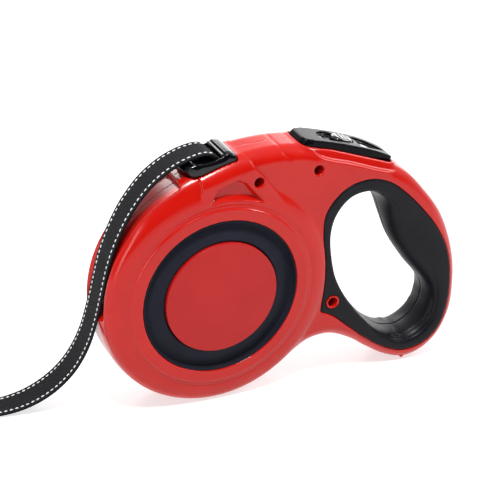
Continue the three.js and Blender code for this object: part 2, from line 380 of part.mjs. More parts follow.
const hookBolt = join(rodAt(57.4, 72.8, 1.8, BOLT_Y, 16), (() => { const g = new THREE.CylinderGeometry(2.2, 1.9, 6.0, 16); g.rotateX(Math.PI / 2); g.translate(69.4, BOLT_Y, AX + 3.4); return solid(g); })());
function coil(at, r, wire, turns, per, seg) {   // at(t, c, s): point on the coil from 0 to 1
  const pts = [];
  for (let i = 0; i <= turns * per; i++) { const a = 2 * Math.PI * i / per; pts.push(at(i / (turns * per), r * Math.cos(a), r * Math.sin(a))); }
  const shape = new THREE.Shape();
  for (let k = 0; k < seg; k++) { const t = 2 * Math.PI * k / seg; k ? shape.lineTo(wire * Math.cos(t), wire * Math.sin(t)) : shape.moveTo(wire, 0); }
  return new THREE.ExtrudeGeometry(shape, { steps: turns * per, bevelEnabled: false, extrudePath: new THREE.CatmullRomCurve3(pts, false, 'centripetal') });
}
const buttonSpring = coil((t, c, s) => { const [x, z] = atB(SPRING_S + c, -7.4 + 8.6 * t); return new THREE.Vector3(x, s, z); }, 2.2, 0.35, 5, 10, 5);
const hookSpring = coil((t, c, s) => new THREE.Vector3(50.9 + 6.0 * t, BOLT_Y + c, AX + s), 1.5, 0.25, 4, 8, 5);
const screw = ([x, z], tilt) => {
  const head = turned([[0, -7.2], [1.3, -7.15], [2.15, -6.5], [2.15, -5.35], [1.05, -5.35], [1.05, 6.9], [0.6, 7.3], [0, 7.3]], 20);
  const g = new THREE.BoxGeometry(2.6, 0.9, 0.55), h = new THREE.BoxGeometry(0.55, 0.9, 2.6);
  for (const b of [g, h]) { b.rotateY(tilt); b.translate(0, -7.1, 0); }
  const m = geoOf(cut(head, solid(g), solid(h)));
  m.translate(x, 0, z);
  return m;
};

// ---- scene graph ----
const mat = (color, roughness, metalness = 0) => new THREE.MeshStandardMaterial({ color, roughness, metalness });
const M = {
  red: mat(0xd3261c, 0.3), cap: mat(0xc02a2a, 0.38), ring: mat(0x1b1d22, 0.5), rubber: mat(0x17181b, 0.75), gloss: mat(0x0c0d10, 0.18), button: mat(0x14161b, 0.4),
  web: mat(0x141416, 0.85), nylon: mat(0xd8d4c8, 0.5), steel: mat(0xa9adb2, 0.3, 1), spring: mat(0x5a5f66, 0.35, 1), chrome: mat(0xc4c8cd, 0.15, 1), black: mat(0x17181b, 0.45),
};
const group = new THREE.Group();
const standing = new THREE.Group(); standing.position.set(BASE_X, 0, BASE_Z); group.add(standing);
const body = new THREE.Group(); body.rotation.y = -rad(PITCH_DEG); standing.add(body);
const hookDir = new THREE.Group();
hookDir.position.set(END.x - 5.7 * Math.cos(HOOK_DIR), END.y - 5.7 * Math.sin(HOOK_DIR), -BASE_Z); hookDir.rotation.z = HOOK_DIR; standing.add(hookDir);
const put = (parent, name, man, m) => {
  const g = man.isBufferGeometry ? fixed(man) : fixed(geoOf(man));
  g.computeVertexNormals();
  const mesh = new THREE.Mesh(g, m); mesh.name = name; parent.add(mesh);
};
put(body, 'shell_left', shellLeft, M.red);
put(body, 'shell_right', shellRight, M.red);
put(body, 'ring_insert_left', ring, M.ring);
put(body, 'ring_insert_right', flipY(ring), M.ring);
put(body, 'disc_cap_left', cap, M.cap);
put(body, 'disc_cap_right', flipY(cap), M.cap);
put(body, 'grip_left', gripSolidL, M.rubber);
put(body, 'grip_right', gripSolidR, M.rubber);
put(body, 'nozzle', nozzle, M.gloss);
put(body, 'guide_bar', guideBar, M.gloss);
put(body, 'brake_button', button, M.button);
put(body, 'lock_slider', slider, M.button);
put(body, 'button_spring', buttonSpring, M.spring);
put(body, 'brake_pawl', pawl, M.nylon);
put(body, 'pawl_pin', pawlPin, M.steel);
put(body, 'reel', reel, M.nylon);
put(body, 'reel_cover', reelCover, M.nylon);
put(body, 'power_spring', spring, M.spring);
put(body, 'tape_roll', tapeRoll, M.web);
put(body, 'axle', axle, M.steel);
put(body, 'axle_screw', axleScrew, M.steel);
put(body, 'screw_front', screw(WELLS.front, 0.4), M.steel);
put(body, 'screw_root', screw(WELLS.root, 1.1), M.steel);
put(body, 'screw_loop', screw(WELLS.loop, 0.1), M.steel);
put(standing, 'tape_lead', tapeLead, M.web);
put(standing, 'tape_free', tapeFree, M.web);
put(hookDir, 'tape_end_loop', endLoop, M.web);
put(hookDir, 'stop_sleeve', sleeve, M.black);
put(hookDir, 'hook_eye', hookEye, M.chrome);
put(hookDir, 'hook_body', hookBody, M.chrome);
put(hookDir, 'hook_bolt', hookBolt, M.chrome);
put(hookDir, 'hook_spring', hookSpring, M.spring);

export default group;
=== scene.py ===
import math

import bpy
import numpy as np
from mathutils import Matrix, Vector


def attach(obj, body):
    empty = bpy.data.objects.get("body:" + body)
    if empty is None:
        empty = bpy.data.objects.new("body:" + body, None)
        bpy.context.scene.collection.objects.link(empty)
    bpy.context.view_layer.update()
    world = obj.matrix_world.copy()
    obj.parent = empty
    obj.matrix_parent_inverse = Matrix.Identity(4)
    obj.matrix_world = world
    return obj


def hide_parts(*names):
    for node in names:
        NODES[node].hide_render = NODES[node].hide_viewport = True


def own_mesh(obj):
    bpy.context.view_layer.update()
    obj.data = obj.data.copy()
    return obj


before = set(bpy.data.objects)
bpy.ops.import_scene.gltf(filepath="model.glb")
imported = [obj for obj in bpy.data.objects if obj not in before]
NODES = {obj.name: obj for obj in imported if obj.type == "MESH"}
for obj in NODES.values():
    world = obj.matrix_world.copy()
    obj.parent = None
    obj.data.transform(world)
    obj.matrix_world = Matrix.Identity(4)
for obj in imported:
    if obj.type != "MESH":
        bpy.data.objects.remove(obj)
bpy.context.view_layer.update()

# ---------------------------------------------------------------------------------------------------------------------
# frames: the case is drawn in millimetres level with its seam line, centred on the reel axis, then pitched to stand
# ---------------------------------------------------------------------------------------------------------------------
PITCH = math.radians(3.3)
BASE_X, BASE_Z = -36.39, 55.754
CP, SP = math.cos(PITCH), math.sin(PITCH)


def case_to_world(P):
    P = np.asarray(P, float)
    return np.stack([BASE_X + P[:, 0] * CP - P[:, 2] * SP, P[:, 1], BASE_Z + P[:, 0] * SP + P[:, 2] * CP], 1) / 1000


def table_to_world(P):
    P = np.asarray(P, float)
    return (P + np.array([BASE_X, 0, BASE_Z])) / 1000


# ---------------------------------------------------------------------------------------------------------------------
# camera, floor and light
# ---------------------------------------------------------------------------------------------------------------------
cam_data = bpy.data.cameras.new("camera")
cam_data.sensor_width = 36
cam_data.lens = 142.56
cam_data.clip_start, cam_data.clip_end = 0.05, 30
cam = bpy.data.objects.new("camera", cam_data)
bpy.context.scene.collection.objects.link(cam)
right = Vector((0.90528, -0.42160, 0.05220)).normalized()
back = Vector((-0.39703, -0.79592, 0.45703)).normalized()
up = back.cross(right).normalized()
right = up.cross(back).normalized()
cam.matrix_world = Matrix(((right.x, up.x, back.x, -0.37879), (right.y, up.y, back.y, -0.72804), (right.z, up.z, back.z, 0.48676), (0, 0, 0, 1)))
bpy.context.scene.camera = cam
bpy.context.scene.view_settings.view_transform = "Standard"
bpy.context.scene.view_settings.look = "None"


def area(name, at, aim, size, power, size_y=None, color=(1, 1, 1)):
    d = bpy.data.lights.new(name, "AREA")
    d.energy, d.size, d.color = power, size, color
    if size_y:
        d.shape, d.size_y = "RECTANGLE", size_y
    o = bpy.data.objects.new(name, d)
    bpy.context.scene.collection.objects.link(o)
    o.location = at
    o.rotation_mode = "QUATERNION"
    o.rotation_quaternion = (Vector(aim) - Vector(at)).to_track_quat("-Z", "Y")
    return o


world = bpy.data.worlds.new("studio")
bpy.context.scene.world = world
world.use_nodes = True
wt = world.node_tree
bgn = wt.nodes["Background"]
bgn.inputs["Color"].default_value = (1.0, 1.0, 1.0, 1)
wc = wt.nodes.new("ShaderNodeTexCoord")
wd = wt.nodes.new("ShaderNodeVectorMath")
wd.operation = "DOT_PRODUCT"
wd.inputs[1].default_value = (0.20, 0.80, 0.56)
wt.links.new(wc.outputs["Generated"], wd.inputs[0])
wr = wt.nodes.new("ShaderNodeMapRange")
wr.inputs["From Min"].default_value, wr.inputs["From Max"].default_value = -0.35, 0.55
wr.inputs["To Min"].default_value, wr.inputs["To Max"].default_value = 0.04, 0.80
wt.links.new(wd.outputs["Value"], wr.inputs["Value"])
wt.links.new(wr.outputs["Result"], bgn.inputs["Strength"])

area("key", (-0.24, -0.40, 1.30), (-0.02, 0.0, 0.06), 0.16, 15.0)
area("left_strip", (-1.15, -0.80, 0.44), (-0.05, 0.0, 0.06), 0.16, 4.0, 0.8)
area("right_top", (0.95, -0.28, 0.80), (0.0, 0.0, 0.06), 0.28, 4.5)
area("back_panel", (0.74, 1.10, 0.36), (0.0, 0.0, 0.08), 1.2, 5.2, 0.7)
area("high_back", (-0.02, 1.05, 0.82), (0.0, 0.0, 0.08), 0.5, 5.5, 0.35)


# ---------------------------------------------------------------------------------------------------------------------
# materials
# ---------------------------------------------------------------------------------------------------------------------
class Tree:
    """A short way to write a node tree."""

    def __init__(self, name):
        self.m = bpy.data.materials.new(name)
        self.m.use_nodes = True
        self.t = self.m.node_tree
        self.b = self.t.nodes["Principled BSDF"]

    def node(self, kind, **kw):
        n = self.t.nodes.new(kind)
        for k, v in kw.items():
            setattr(n, k, v)
        return n

    def link(self, a, b):
        self.t.links.new(a, b)

    def put(self, socket, value):
        self.b.inputs[socket].default_value = value

    def math(self, op, a, b=None, c=None):
        n = self.node("ShaderNodeMath", operation=op)
        for i, v in enumerate((a, b, c)):
            if v is None:
                continue
            if isinstance(v, (int, float)):
                n.inputs[i].default_value = v
            else:
                self.link(v, n.inputs[i])
        return n.outputs[0]

    def noise(self, coord, scale, detail=3.0, rough=0.5):
        n = self.node("ShaderNodeTexNoise")
        n.inputs["Scale"].default_value = scale
        n.inputs["Detail"].default_value = detail
        n.inputs["Roughness"].default_value = rough
        self.link(coord, n.inputs["Vector"])
        return n.outputs["Fac"]

    def ramp(self, fac, stops):
        n = self.node("ShaderNodeValToRGB")
        e = n.color_ramp.elements
        while len(e) < len(stops):
            e.new(0.5)
        for k, (p, c) in enumerate(stops):
            e[k].position = p
            e[k].color = (*c, 1) if len(c) == 3 else c
        self.link(fac, n.inputs["Fac"])
        return n.outputs["Color"]

    def span(self, fac, lo, hi, a=0.0, b=1.0):
        n = self.node("ShaderNodeMapRange")
        n.inputs["From Min"].default_value, n.inputs["From Max"].default_value = a, b
        n.inputs["To Min"].default_value, n.inputs["To Max"].default_value = lo, hi
        self.link(fac, n.inputs["Value"])
        return n.outputs["Result"]

    def bump(self, height, strength, distance, normal=None):
        n = self.node("ShaderNodeBump")
        n.inputs["Strength"].default_value = strength
        n.inputs["Distance"].default_value = distance
        self.link(height, n.inputs["Height"])
        if normal is not None:
            self.link(normal, n.inputs["Normal"])
        return n.outputs["Normal"]

    def coord(self, which="Object"):
        return self.node("ShaderNodeTexCoord").outputs[which]


def lin(c):
    return tuple((v / 12.92 if v <= 0.04045 else ((v + 0.055) / 1.055) ** 2.4) for v in (x / 255 for x in c))


def moulded(name, dark, light, rough=(0.25, 0.35), grain=0.10, grain_scale=1800.0, coat=0.0, mottle=45.0, ior=1.46, wear=0.0):
    """Moulded plastic or rubber: faint flow mottling in colour and gloss, and a fine surface grain."""
    t = Tree(name)
    c = t.coord()
    big = t.noise(c, mottle, 4.0, 0.55)
    col = t.ramp(big, [(0.3, lin(dark)), (0.7, lin(light))])
    t.link(col, t.b.inputs["Base Color"])
    fine = t.noise(c, mottle * 9, 3.0, 0.6)
    t.link(t.span(fine, rough[0], rough[1], 0.3, 0.7), t.b.inputs["Roughness"])
    g = t.noise(c, grain_scale, 2.0, 0.6)
    w = t.noise(c, mottle * 0.8, 1.0, 0.4)
    n = t.bump(w, 0.04, 0.002)
    t.link(t.bump(g, grain, 0.0001, n), t.b.inputs["Normal"])
    t.put("IOR", ior)
    if coat:
        t.put("Coat Weight", coat)
        t.put("Coat Roughness", 0.08)
    return t.m


def metal(name, tint, rough=(0.08, 0.2), scratch=260.0, bumps=0.05):
    t = Tree(name)
    c = t.coord()
    a = t.noise(c, 90.0, 4.0, 0.6)
    t.link(t.ramp(a, [(0.3, tuple(v * 0.9 for v in tint)), (0.7, tint)]), t.b.inputs["Base Color"])
    s = t.noise(c, scratch, 6.0, 0.7)
    t.link(t.span(s, rough[0], rough[1], 0.35, 0.65), t.b.inputs["Roughness"])
    t.link(t.bump(s, bumps, 0.0001), t.b.inputs["Normal"])
    t.put("Metallic", 1.0)
    return t.m


def webbing(name):
    """Woven nylon tape. The UV map is in millimetres: U along the tape, V across it."""
    t = Tree(name)
    uv = t.coord("UV")
    sep = t.node("ShaderNodeSeparateXYZ")
    t.link(uv, sep.inputs[0])
    u, v = sep.outputs["X"], sep.outputs["Y"]
    col = t.math("FLOOR", t.math("DIVIDE", v, 0.62))
    shift = t.math("MULTIPLY", t.math("MODULO", t.math("ABSOLUTE", col), 2.0), 0.5)
    wu = t.math("SINE", t.math("MULTIPLY", t.math("ADD", t.math("DIVIDE", u, 1.05), shift), 2 * math.pi))
    wv = t.math("ABSOLUTE", t.math("SINE", t.math("MULTIPLY", t.math("DIVIDE", v, 0.62), math.pi)))
    h = t.math("MULTIPLY", t.math("ADD", t.math("MULTIPLY", wu, 0.5), 0.5), t.math("POWER", wv, 0.5))
    fuzz = t.noise(t.coord(), 2600.0, 3.0, 0.7)
    wide = t.noise(t.coord(), 60.0, 2.0, 0.5)
    hh = t.math("ADD", h, t.math("MULTIPLY", fuzz, 0.35))
    # colour: painted shade in the weave's low points and painted light on its crests, from the weave height, plus
    # random tone from the fuzz and wide noise
    weave_shade_and_tone = t.math("ADD", t.math("MULTIPLY", hh, 0.7), t.math("MULTIPLY", wide, 0.25))
    t.link(t.ramp(weave_shade_and_tone, [(0.15, lin((5, 5, 7))), (0.55, lin((15, 15, 19))), (1.0, lin((40, 41, 48)))]), t.b.inputs["Base Color"])
    t.link(t.span(fuzz, 0.55, 0.85), t.b.inputs["Roughness"])
    t.link(t.bump(hh, 0.9, 0.00035), t.b.inputs["Normal"])
    t.put("IOR", 1.2)
    t.put("Sheen Weight", 0.03)
    t.put("Sheen Roughness", 0.4)
    return t.m


def thread(name):
    t = Tree(name)
    c = t.coord()
    a = t.noise(c, 2200.0, 3.0, 0.6)
    t.link(t.ramp(a, [(0.3, lin((196, 198, 200))), (0.7, lin((252, 252, 250)))]), t.b.inputs["Base Color"])
    w = t.node("ShaderNodeTexWave")
    w.inputs["Scale"].default_value = 900.0
    w.inputs["Distortion"].default_value = 1.0
    t.link(c, w.inputs["Vector"])
    t.link(t.bump(w.outputs["Fac"], 0.5, 0.0001), t.b.inputs["Normal"])
    t.link(t.span(a, 0.45, 0.65), t.b.inputs["Roughness"])
    return t.m


M = {
    "red": moulded("red_abs", (182, 15, 7), (190, 20, 10), (0.20, 0.24), 0.008, 2400, 0.0, ior=1.41),
    "cap": moulded("red_cap_satin", (170, 19, 18), (179, 25, 24), (0.34, 0.40), 0.05, 2600, 0.0, ior=1.34),
    "ring": moulded("ring_black", (30, 31, 40), (38, 39, 49), (0.40, 0.50), 0.15, 2200, ior=1.12),
    "rubber": moulded("grip_tpe", (14, 14, 19), (22, 22, 28), (0.34, 0.44), 0.20, 1500, mottle=70, ior=1.24),
    "gloss": moulded("gloss_acetal", (4, 4, 7), (8, 8, 12), (0.12, 0.17), 0.02, 2400, 0.4, ior=1.30),
    "button": moulded("button_moulding", (5, 5, 9), (10, 10, 15), (0.20, 0.27), 0.04, 2400, 0.0, ior=1.19),
    "inlay": moulded("button_gloss", (8, 8, 11), (13, 13, 17), (0.05, 0.09), 0.02, 2400, 0.9, ior=1.5),
    "sleeve": moulded("sleeve_satin", (18, 18, 20), (30, 30, 33), (0.35, 0.5), 0.2, 1900),
    "acetal": moulded("natural_acetal", (205, 200, 186), (222, 217, 204), (0.38, 0.5), 0.08, 1600),
    "steel": metal("zinc_steel", (0.60, 0.61, 0.63), (0.18, 0.34)),
    "spring": metal("blued_spring", (0.24, 0.27, 0.33), (0.2, 0.35)),
    "chrome": metal("bright_chrome", (0.66, 0.67, 0.69), (0.05, 0.13), 200.0, 0.03),
    "web": webbing("tape_weave"),
    "thread": thread("stitch_thread"),
}


def paint(o, m):
    o.data.materials.clear()
    o.data.materials.append(m)
    return o


t = Tree("pale_floor")
c = t.coord()
a = t.noise(c, 3.0, 2.0, 0.5)
t.link(t.ramp(a, [(0.3, (0.40, 0.40, 0.40)), (0.7, (0.43, 0.43, 0.43))]), t.b.inputs["Base Color"])
t.link(t.bump(t.noise(c, 400.0, 3.0, 0.5), 0.02, 0.0004), t.b.inputs["Normal"])
t.put("Roughness", 0.65)
t.put("Emission Color", (1, 1, 1, 1))
t.put("Emission Strength", 0.66)
fm = bpy.data.meshes.new("floor")
fm.from_pydata([(-4, -4, 0), (4, -4, 0), (4, 4, 0), (-4, 4, 0)], [], [(0, 1, 2, 3)])
floor = bpy.data.objects.new("floor", fm)
bpy.context.scene.collection.objects.link(floor)
floor.location.z = -0.0002
paint(floor, t.m)


# ---------------------------------------------------------------------------------------------------------------------
# mesh helpers
# ---------------------------------------------------------------------------------------------------------------------
def make(name, V, faces, mat, body, smooth=True, uv=None, sharp=None):
    """A mesh object from points in metres and faces: an (n, 4) or (n, 3) array, or a list of such arrays."""
    me = bpy.data.meshes.new(name)
    V = np.ascontiguousarray(V, np.float32)
    F = [np.asarray(f, np.int32) for f in (faces if isinstance(faces, list) else [faces]) if len(f)]
    loops = np.concatenate([f.ravel() for f in F])
    sizes = np.concatenate([np.full(len(f), f.shape[1], np.int32) for f in F])
    me.vertices.add(len(V))
    me.vertices.foreach_set("co", V.ravel())
    me.loops.add(len(loops))
    me.loops.foreach_set("vertex_index", loops)
    me.polygons.add(len(sizes))
    me.polygons.foreach_set("loop_start", np.concatenate([[0], np.cumsum(sizes)[:-1]]).astype(np.int32))
    me.update(calc_edges=True)
    me.polygons.foreach_set("use_smooth", np.full(len(sizes), smooth, bool))
    if uv is not None:
        layer = me.uv_layers.new(name="UVMap")
        layer.data.foreach_set("uv", np.asarray(uv, np.float32)[loops].ravel())
    me.validate()
    me.update()
    if sharp:
        me.set_sharp_from_angle(angle=math.radians(sharp))
    o = bpy.data.objects.new(name, me)
    bpy.context.scene.collection.objects.link(o)
    paint(o, mat)
    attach(o, body)
    return o


def catmull(P, n, closed=False):
    """Centripetal Catmull-Rom through P, read at n points an equal length apart."""
    P = np.asarray(P, float)
    m = len(P)
    out = []
    segs = m if closed else m - 1
    for i in range(segs):
        p1, p2 = P[i % m], P[(i + 1) % m]
        p0 = P[(i - 1) % m] if closed or i > 0 else 2 * p1 - p2
        p3 = P[(i + 2) % m] if closed or i + 2 < m else 2 * p2 - p1
        d0, d1, d2 = (max(np.linalg.norm(b - a), 1e-6) ** 0.5 for a, b in ((p0, p1), (p1, p2), (p2, p3)))
        t1 = ((p1 - p0) / d0 - (p2 - p0) / (d0 + d1) + (p2 - p1) / d1) * d1
        t2 = ((p2 - p1) / d1 - (p3 - p1) / (d1 + d2) + (p3 - p2) / d2) * d1
        t = np.linspace(0, 1, 40, endpoint=False)[:, None]
        c2, c3 = -3 * p1 + 3 * p2 - 2 * t1 - t2, 2 * p1 - 2 * p2 + t1 + t2
        out.append(p1 + t1 * t + c2 * t * t + c3 * t * t * t)
    Q = np.concatenate(out + [P[:1] if closed else P[-1:]])
    s = np.concatenate([[0], np.cumsum(np.linalg.norm(np.diff(Q, axis=0), axis=1))])
    at = np.linspace(0, s[-1], n, endpoint=not closed)
    return np.stack([np.interp(at, s, Q[:, k]) for k in range(P.shape[1])], 1)


# ---------------------------------------------------------------------------------------------------------------------
# free tape
# ---------------------------------------------------------------------------------------------------------------------
TAPE = [[-1.75, 0, 64.6], [-2.7, 0, 66.8], [-5.9, 0, 68.2], [-12.1, 0, 67.6], [-20.2, 0, 64.9], [-27.1, 0, 60.9], [-33.2, 0, 55.8],
        [-38.3, 0, 49.7], [-42.8, 0, 42.8], [-46.5, 0, 35.2], [-49.6, 0, 27.4], [-51.9, 0.1, 19.3], [-53.6, 0.4, 10.4], [-55.0, 1.1, 1.0],
        [-56.5, 2.1, -8.5], [-58.4, 3.3, -17.7], [-61.3, 4.7, -26.5], [-65.3, 6.2, -34.5], [-70.7, 7.8, -41.5], [-77.0, 9.3, -47.0],
        [-84.0, 10.8, -51.1], [-91.5, 12.2, -53.7], [-99, 13.5, -54.9], [-107, 14.8, -55.21], [-116, 16.2, -55.21], [-126, 17.8, -55.21],
        [-137, 19.6, -55.21], [-148, 21.4, -55.21]]
TAPE_W, TAPE_T = 15.0, 1.0


def frames(C):
    """Tangent, across and up vectors along a path; across stays as level as it can."""
    T = np.gradient(C, axis=0)
    T /= np.linalg.norm(T, axis=1)[:, None]
    W = np.array([0, 1.0, 0]) - T * T[:, 1:2]
    W /= np.linalg.norm(W, axis=1)[:, None]
    return T, W, np.cross(T, W)


def strip(name, C, body, to_world, width=TAPE_W, thick=TAPE_T, picot=0.14):
    """A woven strip along C, in millimetres, with looped edges and its row of raised ribs in the mesh."""
    n = len(C)
    s = np.concatenate([[0], np.cumsum(np.linalg.norm(np.diff(C, axis=0), axis=1))])
    T, W, U = frames(C)
    half = np.array([0, 0.12, 0.3, 0.55, 1.0, 1.8, 2.6, 3.4, 4.2, 5.0, 5.8, 6.6, 7.5]) * (width / 15)
    across = np.concatenate([-(width / 2 - half), (width / 2 - half)[::-1][1:]])          # from one edge to the other
    lift = np.interp(width / 2 - np.abs(across), [0, 0.12, 0.3, 0.55, 1.0, 9], [0.10, 0.26, 0.40, 0.47, 0.5, 0.5]) * thick
    sec = np.concatenate([np.stack([across, lift], 1), np.stack([across[::-1], -lift[::-1]], 1)])
    k = len(sec)
    edge = np.clip((np.abs(sec[:, 0]) - (width / 2 - 0.9)) / 0.9, 0, 1)
    wave = np.cos(2 * math.pi * s / 1.9)
    rib = 0.03 * np.cos(2 * math.pi * s / 1.05)
    V = (C[:, None] + W[:, None] * (sec[None, :, 0:1] + (np.sign(sec[:, 0]) * edge)[None, :, None] * picot * (wave[:, None, None] - 1) * 0.5)
         + U[:, None] * (sec[None, :, 1:2] + np.sign(sec[:, 1])[None, :, None] * rib[:, None, None]))
    uv = np.stack([np.repeat(s, k), np.tile(sec[:, 0], n)], 1)
    V = V.reshape(-1, 3)
    i = np.arange(n - 1)[:, None] * k
    a, b = np.arange(k)[None], (np.arange(k)[None] + 1) % k
    Q = np.stack([i + a, i + b, i + b + k, i + a + k], -1).reshape(-1, 4)
    j = np.arange(k // 2 - 1)
    cap0 = np.stack([j, k - 1 - j, k - 2 - j, j + 1], 1)
    cap1 = cap0[:, ::-1] + (n - 1) * k
    o = make(name, to_world(V), [Q, cap0, cap1], M["web"], body, uv=uv)
    return o


def stitches(name, C, body, to_world, rows, z_sides=(1, -1), start=2.0, dash=1.75, gap=0.9, width=0.86, rise=0.34, base=0.44, end=0.0):
    """Rows of raised thread dashes along a strip; each dips into the cloth at both ends."""
    s = np.concatenate([[0], np.cumsum(np.linalg.norm(np.diff(C, axis=0), axis=1))])
    T, W, U = frames(C)
    V, F = [], []
    prof = np.array([[-1, -0.6], [-0.8, 0.35], [-0.35, 0.9], [0.35, 0.9], [0.8, 0.35], [1, -0.6]])
    m, k = 7, len(prof)
    base_i = 0
    for row in rows:
        for side in z_sides:
            at = start + (0.3 if side < 0 else 0)
            while at + dash < s[-1] - end:
                u = np.linspace(0, 1, m)
                ss = at + dash * u
                P = np.stack([np.interp(ss, s, C[:, q]) for q in range(3)], 1)
                w = np.stack([np.interp(ss, s, W[:, q]) for q in range(3)], 1)
                up_ = np.stack([np.interp(ss, s, U[:, q]) for q in range(3)], 1) * side
                arch = np.sin(math.pi * np.clip(u, 0.02, 0.98)) ** 0.45
                pts = (P[:, None] + w[:, None] * (row + prof[None, :, 0:1] * width / 2 * (0.55 + 0.45 * arch[:, None, None]))
                       + up_[:, None] * (base + (prof[None, :, 1:2] * rise + 0.0) * arch[:, None, None] - 0.12 * (1 - arch[:, None, None])))
                V.append(pts.reshape(-1, 3))
                i = base_i + np.arange(m - 1)[:, None] * k
                a_, b_ = np.arange(k)[None], (np.arange(k)[None] + 1) % k
                F.append(np.stack([i + a_, i + b_, i + b_ + k, i + a_ + k], -1).reshape(-1, 4))
                for e in (0, (m - 1) * k):
                    q = np.array([[0, 1, 4, 5], [1, 2, 3, 4]]) + base_i + e
                    F.append(q if e else q[:, ::-1])
                base_i += m * k
                at += dash + gap
    return make(name, to_world(np.concatenate(V)), np.concatenate(F), M["thread"], body)


path = catmull(TAPE, 640)
tape = strip("free_tape", path, "case", table_to_world)
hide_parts("tape_free")
sew = stitches("free_tape_stitching", path, "case", table_to_world, (-5.35, 5.35), start=3.0, end=1.0)


# ---------------------------------------------------------------------------------------------------------------------
# signed distances, in millimetres
# ---------------------------------------------------------------------------------------------------------------------
def smin(a, b, k):
    h = np.clip(0.5 + 0.5 * (b - a) / k, 0, 1)
    return b + (a - b) * h - k * h * (1 - h)


def smax(a, b, k):
    return -smin(-a, -b, k)


def ext(d, a, H, R):
    """A slab of outline distance d, up to height H, with its edge rounded by R."""
    q1, q2 = d + R, a - (H - R)
    return np.minimum(np.maximum(q1, q2), 0) + np.sqrt(np.maximum(q1, 0) ** 2 + np.maximum(q2, 0) ** 2) - R


class Field:
    """Signed distance to a closed outline, kept on a grid and read back with a smooth cubic."""

    def __init__(self, P, h=0.5, pad=6.0):
        P = np.asarray(P, float)
        self.lo, self.h = P.min(0) - pad, h
        n = np.ceil((P.max(0) + pad - self.lo) / h).astype(int) + 1
        gx = (self.lo[0] + h * np.arange(n[0])).astype(np.float32)[:, None]
        gz = (self.lo[1] + h * np.arange(n[1])).astype(np.float32)[None, :]
        best = np.full((n[0], n[1]), 1e9, np.float32)
        inside = np.zeros((n[0], n[1]), bool)
        Q = np.roll(P, -1, 0)
        for (x0, z0), (x1, z1) in zip(P, Q):
            dx, dz = x1 - x0, z1 - z0
            L = dx * dx + dz * dz
            if L < 1e-12:
                continue
            t = np.clip(((gx - x0) * dx + (gz - z0) * dz) / L, 0, 1)
            d = (gx - x0 - t * dx) ** 2 + (gz - z0 - t * dz) ** 2
            np.minimum(best, d, out=best)
            if z0 != z1:
                cross = ((z0 > gz) != (z1 > gz)) & (gx < (gz - z0) * dx / dz + x0)
                inside ^= cross
        self.F = np.sqrt(best) * np.where(inside, -1, 1)

    def soften(self, times):
        for _ in range(times):
            G = np.pad(self.F, 1, mode="edge")
            G = (G[:-2] + 2 * G[1:-1] + G[2:]) / 4
            self.F = (G[:, :-2] + 2 * G[:, 1:-1] + G[:, 2:]) / 4
        return self

    def __call__(self, x, z):
        x, z = np.broadcast_arrays(np.asarray(x, float), np.asarray(z, float))
        fx, fz = (x - self.lo[0]) / self.h, (z - self.lo[1]) / self.h
        nx, nz = self.F.shape
        cx, cz = np.clip(fx, 1.001, nx - 2.001), np.clip(fz, 1.001, nz - 2.001)
        out = np.sqrt((fx - cx) ** 2 + (fz - cz) ** 2) * self.h
        i, j = cx.astype(int), cz.astype(int)
        u, v = cx - i, cz - j

        def w(t):
            return (-0.5 * t + t * t - 0.5 * t ** 3, 1 - 2.5 * t * t + 1.5 * t ** 3, 0.5 * t + 2 * t * t - 1.5 * t ** 3, -0.5 * t * t + 0.5 * t ** 3)

        wu, wv = w(u), w(v)
        s = 0.0
        for a in range(4):
            row = 0.0
            for b in range(4):
                row = row + wv[b] * self.F[i + a - 1, j + b - 1]
            s = s + wu[a] * row
        return s + out


